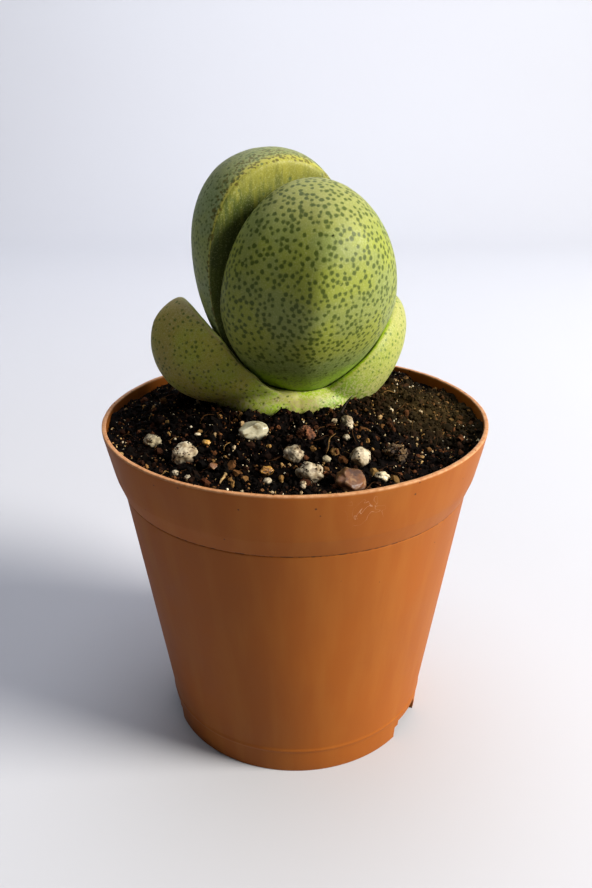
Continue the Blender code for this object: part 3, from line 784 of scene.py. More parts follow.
def remesh(piece, voxel, softening):
    modifier = piece.modifiers.new("voxels", "REMESH")
    modifier.mode, modifier.voxel_size, modifier.use_smooth_shade = "VOXEL", voxel * mm, True
    soften = piece.modifiers.new("soften", "SMOOTH")
    soften.factor, soften.iterations = 0.5, softening
    applied(piece)


def outerLeafSkin():
    # the same skin on last season's leaves: drier and dustier, the left one bronzed towards its tip; the left
    # leaf's lip and the pale dust on the collar also carry painted light
    material, tree, shader, place = startMaterial("outerLeafSkin", 0.5, 1.45)
    value = {key: addNode(tree, "ShaderNodeAttribute", attribute_name=key).outputs["Fac"]
             for key in ("rise", "facing", "right", "scar", "spotGap")}
    broad, grain, fine = (
        addNode(tree, "ShaderNodeTexNoise", {"Vector": place, "Scale": scale, "Detail": detail})
        for scale, detail in ((190.0, 3.0), (5200.0, 2.0), (2600.0, 4.0)))
    height = addNode(tree, "ShaderNodeSeparateXYZ", {"Vector": place}).outputs["Z"]
    cloudy = addNode(tree, "ShaderNodeMapRange", {"Value": broad, 1: 0.3, 2: 0.7, 3: -0.06, 4: 0.06})
    rise = addNode(tree, "ShaderNodeMath", {0: value["rise"], 1: cloudy})
    wander = addNode(tree, "ShaderNodeMapRange", {"Value": fine, 1: 0.25, 2: 0.75, 3: -0.06, 4: 0.06})
    edge = addNode(tree, "ShaderNodeMath", {0: value["spotGap"], 1: wander})
    sides = []
    for side in ("left", "right"):
        look = outerSkin[side]
        sides.append(layered(tree, look["back"], [
            (look["cloud"], [(broad, 0.38, 0.62, 0.0, 1.0)]),
            (look["low"], [(rise, 0.25, 0.55, 1.0, 0.0)]),
            (look["tip"], [(rise, 0.72, 1.02, 0.0, 0.8)]),
            # the face and rim: on the left leaf this is painted light on the lip as well as its own colour
            (look["face"], [(value["facing"], 0.45, 0.7, 0.0, 1.0)]),
            (look["margin"], [(value["facing"], 0.2, 0.45, 0.0, 0.6), (value["facing"], 0.5, 0.8, 1.0, 0.0)]),
            (look["tip"], [(rise, 0.75, 0.95, 0.0, 0.9), (value["facing"], 0.3, 0.6, 0.0, 1.0)]),
            ("#b0ad7c", [(grain, 0.5, 0.7, 0.0, 0.35)]),
            ("#59602a", [(grain, 0.46, 0.3, 0.0, 0.35)]),
            (look["dot"], [(edge, -0.09, 0.09, 0.88, 0.0)]),
        ]))
    both = addNode(tree, "ShaderNodeMix", {0: value["right"], 6: sides[0], 7: sides[1]}, data_type="RGBA")
    # fine pale dust low down, paler than dust alone as painted light on the collar, a dry brownish scar where
    # the leaves join, and damp soil at the very foot
    colour = layered(tree, both, [
        ("#aca676", [(fine, 0.44, 0.6, 0.0, 1.0), (height, 50.2 * mm, 58.0 * mm, 0.8, 0.1)]),
        ("#4e4022", [(fine, 0.48, 0.36, 0.0, 1.0), (height, 50.2 * mm, 54.5 * mm, 0.35, 0.0)]),
        ("#847a40", [(value["scar"], 0.1, 0.55, 0.0, 0.8), (fine, 0.3, 0.6, 0.3, 1.0)]),
        ("#2c2014", [(height, 48.9 * mm, 51.2 * mm, 0.9, 0.0), (broad, 0.36, 0.56, 0.0, 1.0)]),
    ])
    rough = addNode(tree, "ShaderNodeMapRange", {"Value": fine, 1: 0.3, 2: 0.7, 3: 0.44, 4: 0.62})
    relief = addNode(tree, "ShaderNodeBump", {"Height": fine, "Strength": 0.45, "Distance": 0.05 * mm})
    setInputs(tree, shader, {"Base Color": colour, "Roughness": rough, "Normal": relief, **glow})
    return material


# Soil

soil = {
    "edge": 47.4, "heap": 4.1, "heapRadius": 23.0, "axis": (-0.5, 2.6),   # mm, as the solid has them
    "clodHeight": 0.8, "clodSize": 3.2, "floor": 4.3, "clear": 0.04,
    "rings": 96, "sides": 330,
}


def potInside(height):   # radius of the pot's inner wall in mm
    heights = (pot["floorUnder"] + pot["floorThick"], pot["bodyTop"], pot["collarBottom"],
               pot["rimTop"] - 2.2)
    radii = [potRadius(z) - pot["wall"] for z in heights[:3]] + [pot["rimRadius"] - pot["rimWall"]]
    return np.interp(height, heights, radii)


def heapLevel(x, y):     # mm in, mm out
    away = np.hypot(x - soil["axis"][0], y - soil["axis"][1])
    return soil["edge"] + soil["heap"] * np.maximum(0, 1 - (away / soil["heapRadius"]) ** 3)


def soilLevel(x, y):
    x, y = np.atleast_1d(x).astype(float), np.atleast_1d(y).astype(float)
    size = soil["clodSize"] * mm
    flat = np.stack([x, y, np.zeros(len(x))], 1) * mm
    crossed = np.stack([y * mm, x * mm, np.full(len(x), 0.02)], 1)
    clods = ripple(flat, size) + 0.5 * ripple(crossed, size / 2)
    fine = 0.4 * ripple(flat, 1.4 * mm, 2.0) + 0.2 * ripple(flat, 0.7 * mm, 7.0)
    return heapLevel(x, y) + soil["clodHeight"] * clods + fine


def makeSoilBed():
    edge = potInside(soil["edge"]) - soil["clear"]
    rings = [(edge * (i / soil["rings"]) ** 0.8, None) for i in range(1, soil["rings"] + 1)]
    heights = (45.5, pot["collarBottom"], pot["bodyTop"], 30, 20, 10, soil["floor"])
    rings += [(potInside(z) - soil["clear"], z) for z in heights]
    sides = soil["sides"]
    angles = np.arange(sides) * 2 * math.pi / sides
    places = [np.array([[0, 0, soilLevel(0, 0)[0]]])]
    for radius, height in rings:
        x, y = radius * np.cos(angles), radius * np.sin(angles)
        z = soilLevel(x, y) if height is None else np.full(sides, float(height))
        places.append(np.stack([x, y, z], 1))
    places.append(np.array([[0, 0, soil["floor"]]]))
    points = np.concatenate(places) * mm
    faces = [(0, 1 + i, 1 + (i + 1) % sides) for i in range(sides)]
    for ring in range(len(rings) - 1):
        a, b = 1 + ring * sides, 1 + (ring + 1) * sides
        faces += [(a + i, b + i, b + (i + 1) % sides, a + (i + 1) % sides) for i in range(sides)]
    last, low = len(points) - 1, 1 + (len(rings) - 1) * sides
    faces += [(last, low + (i + 1) % sides, low + i) for i in range(sides)]
    mesh = bpy.data.meshes.new("soilBed")
    mesh.from_pydata(points.tolist(), [], faces)
    mesh.shade_smooth()
    bed = newObject("soilBed", mesh)
    # where crumbs may lie: on top, and not inside a leaf
    skins = [BVHTree.FromObject(bpy.data.objects[name], bpy.context.evaluated_depsgraph_get())
             for name in ("outerLeafPair", "innerLeafFront", "innerLeafBack")]
    top = 1 + soil["rings"] * sides
    cover = np.zeros(len(points))
    for i in range(top):
        spot = Vector(points[i])
        hits = [tree.ray_cast(spot, Vector((0, 0, 1))) for tree in skins]
        cover[i] = not any(hit[0] is not None and hit[1].z > 0 for hit in hits)
    away = np.hypot(points[:, 0], points[:, 1]) / mm
    keepValue(mesh, "cover", cover * (away < edge - 0.5))
    keepValue(mesh, "inner", cover * (away < edge - 1.9))
    return bed


def scatterTree():
    # small pieces strewn over a surface: each turned its own way, sunk in or lifted by a share of its size
    tree, given = geometryTree("strewPieces", {
        "Pieces": "Collection", "Where": "String", "Spacing": "Float", "Density": "Float",
        "Smallest": "Float", "Largest": "Float", "Favour small": "Float", "Lift": "Float",
        "Tumble": "Float", "Seed": "Int", "Finish": "Material"})
    dots = scattered(tree, given)
    chance = addNode(tree, "FunctionNodeRandomValue", {2: 0.0, 3: 1.0, "Seed": given["Seed"]},
                     data_type="FLOAT")
    bent = addNode(tree, "ShaderNodeMath", {0: chance, 1: given["Favour small"]}, operation="POWER")
    size = addNode(tree, "ShaderNodeMapRange", {"Value": bent, 3: given["Smallest"], 4: given["Largest"]})
    height = addNode(tree, "ShaderNodeMath", {0: size, 1: given["Lift"]}, operation="MULTIPLY")
    offset = addNode(tree, "ShaderNodeVectorMath", {0: dots.outputs["Normal"], "Scale": height},
                     operation="SCALE")
    after = addNode(tree, "ShaderNodeMath", {0: given["Seed"], 1: 1.0}, operation="ADD")
    tone = addNode(tree, "FunctionNodeRandomValue", {2: 0.0, 3: 1.0, "Seed": after}, data_type="FLOAT")
    toned = addNode(tree, "GeometryNodeStoreNamedAttribute", {
        "Geometry": dots, "Name": "tone", "Value": tone}, data_type="FLOAT", domain="POINT")
    sized = addNode(tree, "GeometryNodeStoreNamedAttribute", {
        "Geometry": toned, "Name": "size", "Value": size}, data_type="FLOAT", domain="POINT")
    placed = addNode(tree, "GeometryNodeSetPosition", {"Geometry": sized, "Offset": offset})
    least = addNode(tree, "ShaderNodeMath", {0: given["Tumble"], 1: -1.0}, operation="MULTIPLY")
    low = addNode(tree, "ShaderNodeCombineXYZ", {0: least, 1: least, 2: -math.pi})
    high = addNode(tree, "ShaderNodeCombineXYZ", {0: given["Tumble"], 1: given["Tumble"], 2: math.pi})
    spin = addNode(tree, "FunctionNodeRandomValue", {0: low, 1: high, "Seed": given["Seed"]},
                   data_type="FLOAT_VECTOR")
    turn = addNode(tree, "FunctionNodeRotateRotation", {0: dots.outputs["Rotation"], 1: spin},
                   rotation_space="LOCAL")
    aimed = addNode(tree, "GeometryNodeStoreNamedAttribute", {
        "Geometry": placed, "Name": "turn", "Value": turn}, data_type="QUATERNION", domain="POINT")
    pieces = addNode(tree, "GeometryNodeCollectionInfo", {"Collection": given["Pieces"], 1: True, 2: True})
    keptSize = addNode(tree, "GeometryNodeInputNamedAttribute", {"Name": "size"}, data_type="FLOAT")
    keptTurn = addNode(tree, "GeometryNodeInputNamedAttribute", {"Name": "turn"}, data_type="QUATERNION")
    strewn = addNode(tree, "GeometryNodeInstanceOnPoints", {
        "Points": aimed, "Instance": pieces, "Pick Instance": True, "Rotation": keptTurn, "Scale": keptSize})
    return endTree(tree, strewn, given["Finish"])


def shapeSet(name, meshes):              # a collection of pieces to strew, about one unit long each
    collection = bpy.data.collections.new(name)
    for number, mesh in enumerate(meshes):
        collection.objects.link(bpy.data.objects.new(f"{name}{number}", mesh))
    return collection


def crumbMesh(detail, seed, rugged=0.34, flat=0.75):
    bm = bmesh.new()
    bmesh.ops.create_icosphere(bm, subdivisions=detail, radius=0.5)
    mesh = meshFrom("crumb", bm, smooth=False)
    points = corners(mesh)
    lumps = 1 + rugged * ripple(points * 2, 0.8, seed * 3.1)
    lumps += 0.6 * rugged * ripple(points * 2, 0.35, seed * 5.3)
    setCorners(mesh, points * lumps[:, None] * np.array([1, 0.72 + 0.2 * math.sin(seed), flat]))
    return mesh


def tubeMesh(name, path, radii, sides=5):
    # a closed tube along a path, each ring square to it
    path = [Vector(p) for p in path]
    points, faces = [], []
    for i, place in enumerate(path):
        along = (path[min(i + 1, len(path) - 1)] - path[max(i - 1, 0)]).normalized()
        first = along.orthogonal().normalized() if i == 0 else (first - along * first.dot(along)).normalized()
        second = along.cross(first)
        for k in range(sides):
            angle = 2 * math.pi * k / sides
            points.append(place + (first * math.cos(angle) + second * math.sin(angle)) * radii[i])
    for i in range(len(path) - 1):
        for k in range(sides):
            a, b = i * sides + k, i * sides + (k + 1) % sides
            faces.append((a, b, b + sides, a + sides))
    faces.append(tuple(reversed(range(sides))))
    faces.append(tuple(range(len(points) - sides, len(points))))
    mesh = bpy.data.meshes.new(name)
    mesh.from_pydata(points, [], faces)
    mesh.shade_smooth()
    return mesh


def fibreMesh(seed):     # a bent root hair or peat fibre, one unit long
    path = []
    noise.seed_set(24)   # the vector noise would take its seed from the clock
    for i in range(7):
        t = i / 6
        sway = noise.noise_vector(Vector((t * 1.6, seed * 2.3, 0))) * 0.32
        path.append((t - 0.5, sway.y, 0.16 * math.sin(math.pi * t) + 0.3 * sway.z))
    radii = [0.009 + 0.014 * math.sin(math.pi * min(1, i / 6 + 0.12)) for i in range(7)]
    return tubeMesh("fibre", path, radii, 4)


strewing = {             # sizes and spacings in mm, densities for each square mm
    "soilClods": dict(shapes="clod", where="inner", spacing=1.25, density=0.75, smallest=0.8, largest=1.9,
                      favourSmall=1.8, lift=-0.05, tumble=math.pi, seed=21),
    "soilCrumbs": dict(shapes="crumb", where="cover", spacing=0.58, density=1.75, smallest=0.42, largest=1.0,
                       favourSmall=1.6, lift=0.12, tumble=math.pi, seed=22),
    "soilGrit": dict(shapes="grit", where="cover", spacing=0.26, density=5.0, smallest=0.16, largest=0.42,
                     favourSmall=1.3, lift=0.3, tumble=math.pi, seed=23),
    "soilFibres": dict(shapes="fibre", where="inner", spacing=1.3, density=0.4, smallest=0.9, largest=3.4,
                       favourSmall=1.6, lift=0.05, tumble=0.45, seed=24),
}


def strew(name, mesh, material, sizes):  # over that mesh, as thick as one of its values says
    piece = newObject(name, mesh.copy())
    return runTree(piece, strewTree, Pieces=shapes[sizes["shapes"]], Where=sizes["where"],
                   Spacing=sizes["spacing"] * mm, Density=sizes["density"] / mm ** 2,
                   Smallest=sizes["smallest"] * mm, Largest=sizes["largest"] * mm, Lift=sizes["lift"],
                   Tumble=sizes["tumble"], Seed=sizes["seed"], Finish=material,
                   **{"Favour small": sizes["favourSmall"]})


def crumbsOn(name, materialName, kind, mesh, values, sizes):
    # a few crumbs left on another piece; mesh is a copy of its mesh and is removed here
    keepValue(mesh, sizes["where"], values)
    peat = peatSoil(materialName, kind)
    wear(strew(name, mesh, peat, sizes), peat, "potting_soil")
    bpy.data.meshes.remove(mesh)


def makeShapes():
    return {
        "clod": shapeSet("clod", [crumbMesh(2, i, 0.5) for i in range(8)]),
        "crumb": shapeSet("crumb", [crumbMesh(2, i + 20, 0.45) for i in range(8)]),
        "grit": shapeSet("grit", [crumbMesh(1, i + 40, 0.4) for i in range(8)]),
        "fibre": shapeSet("fibre", [fibreMesh(i) for i in range(8)]),
    }


def dropShapes():
    for collection in shapes.values():
        for item in list(collection.objects):
            bpy.data.objects.remove(item)
        bpy.data.collections.remove(collection)


leafCrumbs = dict(shapes="grit", where="dusty", spacing=0.5, density=0.5, smallest=0.1, largest=0.34,
                  favourSmall=2.2, lift=0.25, tumble=math.pi, seed=41, soilTop=50.5)


def makeLeafCrumbs():    # soil that splashed or fell on the leaves, most of it low down
    top = leafCrumbs["soilTop"]
    dusted = (("outerLeafPair", 7.0, 1.0), ("innerLeafFront", 30.0, 0.05))   # piece, reach in mm, share
    for number, (name, reach, share) in enumerate(dusted):
        mesh = bpy.data.objects[name].data.copy()
        height, upward = corners(mesh)[:, 2] / mm, pointNormals(mesh)[:, 2]
        dusty = share * (1 - step(top, top + reach, height)) * step(-0.3, 0.4, upward)
        dusty = dusty * step(top - 1, top, height)
        crumbsOn(f"leafCrumbs{number}", f"leafCrumbPeat{number}", "grit", mesh, dusty, leafCrumbs)


def makeSoil():
    bed = makeSoilBed()
    for name, sizes in strewing.items():
        peat = peatSoil(name + "Peat", sizes["shapes"])
        wear(strew(name, bed.data, peat, sizes), peat, "potting_soil")
    wear(bed, peatSoil("bedPeat", None), "potting_soil", "soil")
    makeLeafCrumbs()


peatTones = {            # share of the crumbs up to which each colour runs, from damp peat to pale grit
    "clod": [(0.0, "#060403"), (0.6, "#0e0906"), (0.80, "#2a180e"), (0.91, "#4b2917"), (0.97, "#6a4a28"),
             (1.0, "#7c6238")],
    "crumb": [(0.0, "#050302"), (0.66, "#0d0805"), (0.83, "#2a180e"), (0.92, "#5c3720"), (0.97, "#8f6c3c"),
              (1.0, "#d0be9a")],
    "grit": [(0.0, "#060403"), (0.58, "#120b07"), (0.75, "#40261a"), (0.87, "#7a4d28"), (0.94, "#b0945f"),
             (1.0, "#e2d6ba")],
    "fibre": [(0.0, "#0e0906"), (0.5, "#23150b"), (0.8, "#4a3018"), (1.0, "#8a6a3c")],
}


peatLook = {"dry": "#554420", "dryLitPlace": (19, 2, 48), "dryLitReach": (3, 14)}      # mm


def peatSoil(name, kind):
    # peat and bark fines, damp: near black, rough enough to hold its own shadows, dry brown only where it
    # stands up, with strewn bits of bark, roots and pale mineral grit. On the bare bed the near black is partly
    # painted shade in the gaps between the crumbs, and the olive-brown on the right is partly painted light
    material, tree, shader, place = startMaterial(name, 0.85, 1.45)
    rough = addNode(tree, "ShaderNodeTexNoise", {
        "Vector": place, "Scale": 900.0, "Detail": 5.0, "Roughness": 0.65})
    # the bare bed: near-black damp peat, and painted shade in the gaps between the crumbs
    stops = peatTones[kind] if kind else [(0.35, "#030201"), (0.55, "#090504"), (0.75, "#1c100a")]
    tone = addNode(tree, "ShaderNodeAttribute", attribute_name="tone").outputs["Fac"] if kind else rough
    base = addNode(tree, "ShaderNodeValToRGB", {"Fac": tone}, stops=stops)
    speckle = addNode(tree, "ShaderNodeMapRange", {"Value": rough, 1: 0.35, 2: 0.7, 3: 0.55, 4: 1.25})
    shaded = addNode(tree, "ShaderNodeVectorMath", {0: base, "Scale": speckle}, operation="SCALE")
    # drier and olive-brown on the right, partly the peat's own colour and partly painted light where the key
    # light falls
    patch = addNode(tree, "ShaderNodeVectorMath", {0: place, 1: [v * mm for v in peatLook["dryLitPlace"]]},
                    operation="DISTANCE")
    wide = addNode(tree, "ShaderNodeTexNoise", {"Vector": place, "Scale": 220.0, "Detail": 2.0})
    near, far = peatLook["dryLitReach"]
    reach = addNode(tree, "ShaderNodeMapRange", {"Value": patch, 1: near * mm, 2: far * mm, 3: 0.5, 4: 0.0})
    dry = addNode(tree, "ShaderNodeMath", {0: reach, 1: wide}, operation="MULTIPLY")
    relief = addNode(tree, "ShaderNodeBump", {"Height": rough, "Strength": 0.8, "Distance": 0.12 * mm})
    setInputs(tree, shader, {"Base Color": layered(tree, shaded, [(peatLook["dry"], dry)]), "Normal": relief,
                             "Specular IOR Level": 0.05})        # crumbs too rough to shine
    return material


# Grains

grains = {               # place and longest size in mm, flatness, ruggedness, kind and finish
    "quartz_grain": ((-5.4, -12.5), 4.0, 0.75, 0.22, "quartz"),
    "perlite_left": ((-14.3, -14.6), 3.9, 0.88, 0.18, "perlite"),
    "bark_chip_left": ((-19.3, -9.4), 3.0, 0.60, 0.30, "chip"),
    "bark_lump_red": ((1.3, -13.0), 2.7, 0.80, 0.35, "barkRed"),
    "perlite_middle_back": ((-0.2, -16.8), 2.8, 0.85, 0.18, "perlite"),
    "perlite_middle": ((1.8, -19.8), 3.6, 0.88, 0.18, "perlite"),
    "perlite_small": ((6.9, -9.4), 2.0, 0.90, 0.18, "perlite"),
    "perlite_right": ((8.2, -16.6), 3.3, 0.85, 0.18, "perlite"),
    "bark_lump_fibrous": ((12.9, -14.5), 3.1, 0.80, 0.35, "barkFibrous"),
    "stone_brown": ((6.6, -21.9), 4.6, 0.65, 0.22, "stoneBrown"),
    "stone_cream": ((10.8, -20.0), 2.0, 0.70, 0.25, "stoneCream"),
    "stone_amber": ((-3.6, -19.2), 1.9, 0.75, 0.25, "stoneAmber"),
}
bits = {                 # smaller ones, which the solids leave out
    "ochreChip": ((-11.6, -12.9), 1.3, 0.6, 0.3, "stoneAmber"),
    "paleSeed": ((-12.9, -10.8), 1.0, 0.55, 0.1, "stoneCream"),
    "perliteBitBack": ((7.1, -10.2), 1.3, 0.85, 0.2, "perlite"),
    "perliteBitMiddle": ((6.6, -13.1), 1.2, 0.8, 0.2, "perlite"),
    "perliteBitFront": ((-3.4, -21.2), 1.2, 0.8, 0.2, "perlite"),
    "perliteBitEdge": ((0.9, -23.5), 0.8, 0.8, 0.2, "perlite"),
    "perliteBitLeft": ((-15.1, -18.0), 1.0, 0.8, 0.2, "perlite"),
    "perliteBitFarLeft": ((-13.3, -20.0), 1.0, 0.8, 0.2, "perlite"),
    "brownPebble": ((-10.4, -17.3), 1.5, 0.7, 0.2, "stoneBrown"),
    "greyPebble": ((3.9, -17.5), 1.3, 0.7, 0.2, "chip"),
}
grainForms = {           # smooth: no peat sticks to it; facets: how many flats, flat: where a big one looks;
                         # pits, fibres and fine relief as shares of the radius
    "quartz": dict(smooth=True, facets=11, flat=(0.1, -0.85, 0.5), pits=0.0, fibres=0.0, fine=0.008,
                   slot="quartz"),
    "perlite": dict(smooth=False, facets=0, pits=0.035, fibres=0.0, fine=0.025, slot="perlite"),
    "chip": dict(smooth=False, facets=7, pits=0.02, fibres=0.05, fine=0.04, slot="bark"),
    "barkRed": dict(smooth=False, facets=0, pits=0.1, fibres=0.14, fine=0.12, slot="bark"),
    "barkFibrous": dict(smooth=False, facets=0, pits=0.05, fibres=0.2, fine=0.1, slot="bark"),
    "stoneBrown": dict(smooth=True, facets=8, flat=(0.3, -0.6, 0.75), pits=0.0, fibres=0.0, fine=0.015,
                       slot="grit_stone"),
    "stoneCream": dict(smooth=False, facets=0, pits=0.03, fibres=0.0, fine=0.03, slot="grit_stone"),
    "stoneAmber": dict(smooth=False, facets=6, pits=0.03, fibres=0.0, fine=0.05, slot="grit_stone"),
}


stuckCrumbs = dict(shapes="grit", where="stuck", spacing=0.16, density=22.0, smallest=0.08, largest=0.34,
                   favourSmall=1.6, lift=0.2, tumble=math.pi, seed=51)


def makeStuckCrumbs(stones):             # peat that sticks to the upper side of the stones
    bm = bmesh.new()
    for stone in stones:
        bm.from_mesh(stone.data)
    mesh = meshFrom("stones", bm)
    patch = step(-0.15, 0.3, ripple(corners(mesh), 1.2 * mm, 12.0))
    stuck = patch * step(-0.3, 0.3, pointNormals(mesh)[:, 2])
    crumbsOn("stuckCrumbs", "stuckPeat", "clod", mesh, stuck, stuckCrumbs)


rimCrumbs = dict(shapes="grit", where="rim", spacing=0.3, density=2.2, smallest=0.08, largest=0.28,
                 favourSmall=2.0, lift=0.2, tumble=math.pi, seed=52, within=(26.9, 27.2), above=(48.3, 48.6))


def makeRimCrumbs():                     # and a few left on the pot's rim
    mesh = bpy.data.objects["nurseryPot"].data.copy()
    points, upward = corners(mesh), pointNormals(mesh)[:, 2]
    patch = step(-0.1, 0.4, ripple(points, 6 * mm, 15.0))
    near, far = rimCrumbs["within"]
    inward = 1 - step(near * mm, far * mm, np.hypot(points[:, 0], points[:, 1]))
    rim = patch * inward * step(0.3, 0.6, upward) * step(*rimCrumbs["above"], points[:, 2] / mm)
    crumbsOn("rimCrumbs", "rimPeat", "grit", mesh, rim, rimCrumbs)


def makeGrain(name, grain, detail, lift, level):
    place, size, flatness, ruggedness, kind = grain
    form = grainForms[kind]
    bm = bmesh.new()
    bmesh.ops.create_icosphere(bm, subdivisions=detail, radius=1)
    mesh = meshFrom(name, bm)
    way = corners(mesh)
    offset = np.array([sum(place), size * 3, flatness * 7])
    radius = 0.94 + ruggedness * np.array([noise.noise(Vector(w) * 1.6 + Vector(offset)) for w in way])
    draws = np.random.default_rng(int(abs(place[0] * 71 + place[1] * 37) * 10))
    tipped = Matrix.Rotation(0.25 * math.sin(place[1]), 3, "X")
    turn = np.array(Matrix.Rotation(place[0] * 1.7, 3, "Z") @ tipped)
    if form["facets"]:
        flats = draws.normal(size=(form["facets"], 3))
        flats /= np.linalg.norm(flats, axis=1)[:, None]
        reach = draws.uniform(0.7, 0.9, form["facets"])
        if "flat" in form:
            flats[0] = np.array(form["flat"]) @ turn / np.linalg.norm(form["flat"])
            reach[0] = 0.68
        slope = np.maximum(way @ flats.T, 1e-3)
        radius = np.minimum(radius, (reach / slope).min(1))
    seed = abs(place[0]) + 3.3
    fibres = ripple(way * np.array([0.7, 3.2, 3.2]), 0.35, seed)
    fine = ripple(way, 0.22, seed) + 0.6 * ripple(way, 0.1, seed + 1)
    pitted = step(0.05, 0.45, ripple(way, 0.3, seed + 4)) + 0.6 * step(0.1, 0.5, ripple(way, 0.16, seed + 9))
    radius += form["fibres"] * fibres + form["fine"] * fine - form["pits"] * pitted
    points = way * radius[:, None] * np.array([1, 0.86, flatness]) * size / 2
    points = points @ turn.T + np.array([*place, level + lift * size])
    setCorners(mesh, points * mm)
    keepValue(mesh, "pit", np.clip(pitted, 0, 1))
    keepValue(mesh, "under", 1 - step(-0.5, 0.1, way[:, 2]))
    return newObject(name, mesh)


def makeGrains():
    finishes = grainMaterials()
    stones = []
    for node, grain in grains.items():
        words = node.split("_")
        name = words[0] + "".join(word.capitalize() for word in words[1:])
        level = float(heapLevel(*grain[0]))
        piece = makeGrain(name, grain, 5, 0.15, level)
        wear(piece, finishes[grain[4]], grainForms[grain[4]]["slot"], node)
        if not grainForms[grain[4]]["smooth"]:
            stones.append(piece)
    for name, grain in bits.items():
        level = float(soilLevel(*grain[0])[0])
        piece = makeGrain(name, grain, 4, 0.3, level)
        wear(piece, finishes[grain[4]], grainForms[grain[4]]["slot"])
    makeStuckCrumbs(stones)


grainLooks = {           # the grain's scale, relief in mm, and pit: the colour of the soil in its hollows
    "quartz": dict(roughness=0.3, ior=1.54, low="#918b70", high="#bdb699", pit="#6b5f42", scale=450,
                   relief=0.01, glow=0.3),
    "perlite": dict(roughness=0.75, ior=1.5, low="#7f6c4d", high="#bfb296", pit="#4d3820", scale=900,
                    relief=0.06, glow=0.12),
    "chip": dict(roughness=0.8, ior=1.5, low="#665a41", high="#9c8f70", pit="#3a2c1c", scale=1100,
                 relief=0.05),
    "barkRed": dict(roughness=0.9, ior=1.45, low="#2c160c", high="#7a4a2a", pit="#160c07", scale=1200,
                    relief=0.1),
    "barkFibrous": dict(roughness=0.9, ior=1.45, low="#2c1c10", high="#6f5634", pit="#150d08", scale=1200,
                        relief=0.1),
    "stoneBrown": dict(roughness=0.5, ior=1.55, low="#3c1f0b", high="#63380f", pit="#7f5c3a", scale=900,
                       relief=0.03),
    "stoneCream": dict(roughness=0.55, ior=1.55, low="#b79f72", high="#e0d2ae", pit="#7a6142", scale=900,
                       relief=0.03),
    "stoneAmber": dict(roughness=0.4, ior=1.55, low="#7a4a14", high="#b98b3c", pit="#2c1c0e", scale=900,
                       relief=0.04, glow=0.1),
}


def grainMaterials():
    # quartz: broken crystal, glossy on its flats; perlite: puffed volcanic glass, chalk white with open
    # pores; bark: torn and fibrous; pebbles: washed stone, a dull shine. All carry soil in their hollows
    finishes = {}
    for kind, look in grainLooks.items():
        material, tree, shader, place = startMaterial(kind + "Grain", look["roughness"], look["ior"])
        grain, patchy = (
            addNode(tree, "ShaderNodeTexNoise", {"Vector": place, "Scale": scale, "Detail": detail})
            for scale, detail in ((look["scale"], 5.0), (800.0, 3.0)))
        pit, under = (addNode(tree, "ShaderNodeAttribute", attribute_name=key).outputs["Fac"]
                      for key in ("pit", "under"))
        base = addNode(tree, "ShaderNodeValToRGB", {"Fac": grain},
                       stops=[(0.36, look["low"]), (0.6, look["high"])])
        held = addNode(tree, "ShaderNodeMapRange", {"Value": patchy, 1: 0.4, 2: 0.62})
        filled = addNode(tree, "ShaderNodeMath", {0: pit, 1: held}, operation="MULTIPLY")
        # painted shade: darker over the lower half of each grain
        undersideShade = addNode(tree, "ShaderNodeMath", {0: under, 1: 0.85}, operation="MULTIPLY")
        relief = addNode(tree, "ShaderNodeBump", {
            "Height": grain, "Strength": 0.7, "Distance": look["relief"] * mm})
        setInputs(tree, shader, {
            "Base Color": layered(tree, base, [(look["pit"], filled), ("#1d130c", undersideShade)]), "Normal": relief})
        if "glow" in look:                               # some light passes through
            setInputs(tree, shader, {"Subsurface Weight": look["glow"], "Subsurface Radius": (1.0, 0.9, 0.7),
                                     "Subsurface Scale": 0.5 * mm})
        finishes[kind] = material
    return finishes


# Root, and what lies loose

rootOutline = (          # height and radius, mm
    (49.5, 4.0), (48.5, 5.0), (46, 4.4), (43, 3.5), (40, 2.8), (35, 2.1), (30, 1.6), (25, 1.2), (20, 0.8),
    (16, 0.3))


def makeRoot():
    # a woody taproot in thin flaking bark, buried but whole
    top, bottom = rootOutline[0][0], rootOutline[-1][0] - 0.2
    outline = spaced([(0, top)] + [(r, z) for z, r in rootOutline] + [(0, bottom)], 0.6)
    material, tree, shader, place = startMaterial("rootBark", 0.85, 1.45)
    long = addNode(tree, "ShaderNodeMapping", {"Vector": place, "Scale": (1, 1, 0.25)})
    flakes = addNode(tree, "ShaderNodeTexNoise", {"Vector": long, "Scale": 900.0, "Detail": 4.0})
    base = addNode(tree, "ShaderNodeValToRGB", {"Fac": flakes}, stops=[(0.35, "#5a3d24"), (0.65, "#a07f55")])
    relief = addNode(tree, "ShaderNodeBump", {"Height": flakes, "Strength": 0.7, "Distance": 0.1 * mm})
    setInputs(tree, shader, {"Base Color": base, "Normal": relief})
    root = turned("plantRoot", outline, 72, material)
    points = corners(root.data)
    angle = np.arctan2(points[:, 1], points[:, 0])
    swell = 1 + 0.07 * np.sin(3 * angle + points[:, 2] / mm / 4) + 0.05 * ripple(points, 1.5 * mm, 2.0)
    points[:, :2] *= swell[:, None]
    drift = 0.02 * (53 * mm - points[:, 2])
    points[:, 0] += soil["axis"][0] * mm + drift
    points[:, 1] += soil["axis"][1] * mm
    setCorners(root.data, points)
    wear(root, material, "root_bark", "root_crown")


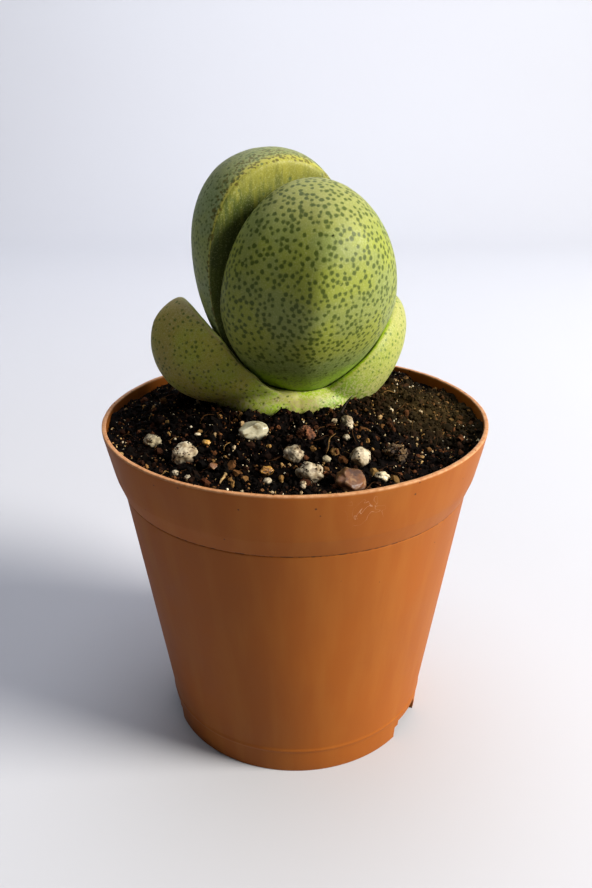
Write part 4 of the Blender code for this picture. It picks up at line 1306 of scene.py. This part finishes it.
def strandMaterial(name, roughness, scale, dark, pale):          # torn or dried plant strands
    material, tree, shader, place = startMaterial(name, roughness, 1.45)
    strands = addNode(tree, "ShaderNodeTexNoise", {"Vector": place, "Scale": scale, "Detail": 3.0})
    base = addNode(tree, "ShaderNodeValToRGB", {"Fac": strands}, stops=[(0.35, dark), (0.7, pale)])
    setInputs(tree, shader, {"Base Color": base})
    return material


loose = {"sliverFoot": (5.9, -7.6), "strawStart": (-8.9, -18.6), "strawReach": 3.6}      # mm


def makeLoosePieces():
    # a black sliver of bark that stands in front of the right leaf, and a straw-coloured root end
    foot = Vector((*loose["sliverFoot"], float(soilLevel(*loose["sliverFoot"])[0]) - 0.5))
    path = [foot + Vector((0.02 * i * i + 0.08 * i, 0.05 * i, 0.42 * i)) for i in range(9)]
    radii = [0.3, 0.34, 0.3, 0.25, 0.22, 0.18, 0.13, 0.08, 0.02]
    mesh = tubeMesh("blackSliver", [p * mm for p in path], [r * mm for r in radii], 8)
    sliver = newObject("blackSliver", mesh)
    wear(sliver, strandMaterial("blackBarkSliver", 0.6, 1500.0, "#0c0805", "#2e1f14"), "bark")
    path = []
    for i in range(11):
        t = i / 10
        x = loose["strawStart"][0] + 0.35 * math.sin(4 * t)
        y = loose["strawStart"][1] - loose["strawReach"] * t
        path.append(Vector((x, y, float(soilLevel(x, y)[0]) + 0.35 + 0.5 * math.sin(math.pi * t))) * mm)
    radii = [(0.1 + 0.07 * math.sin(math.pi * i / 10)) * mm for i in range(11)]
    straw = newObject("strawRootlet", tubeMesh("strawRootlet", path, radii, 7))
    wear(straw, strandMaterial("dryRootlet", 0.8, 1800.0, "#5d4424", "#a98a55"), "bark")


makeCamera()
makeLight()
makeFloor()
print("camera, light and floor done")
turning = turningTree()
makePot()
print("pot done")
spots = spotTree()
makeInnerLeaves()
print("inner leaves done")
makeOuterLeaves()
print("outer leaves done")
strewTree = scatterTree()
shapes = makeShapes()
makeSoil()
makeRimCrumbs()
print("soil done")
makeGrains()
dropShapes()
makeRoot()
makeLoosePieces()
print("grains, root and loose pieces done")
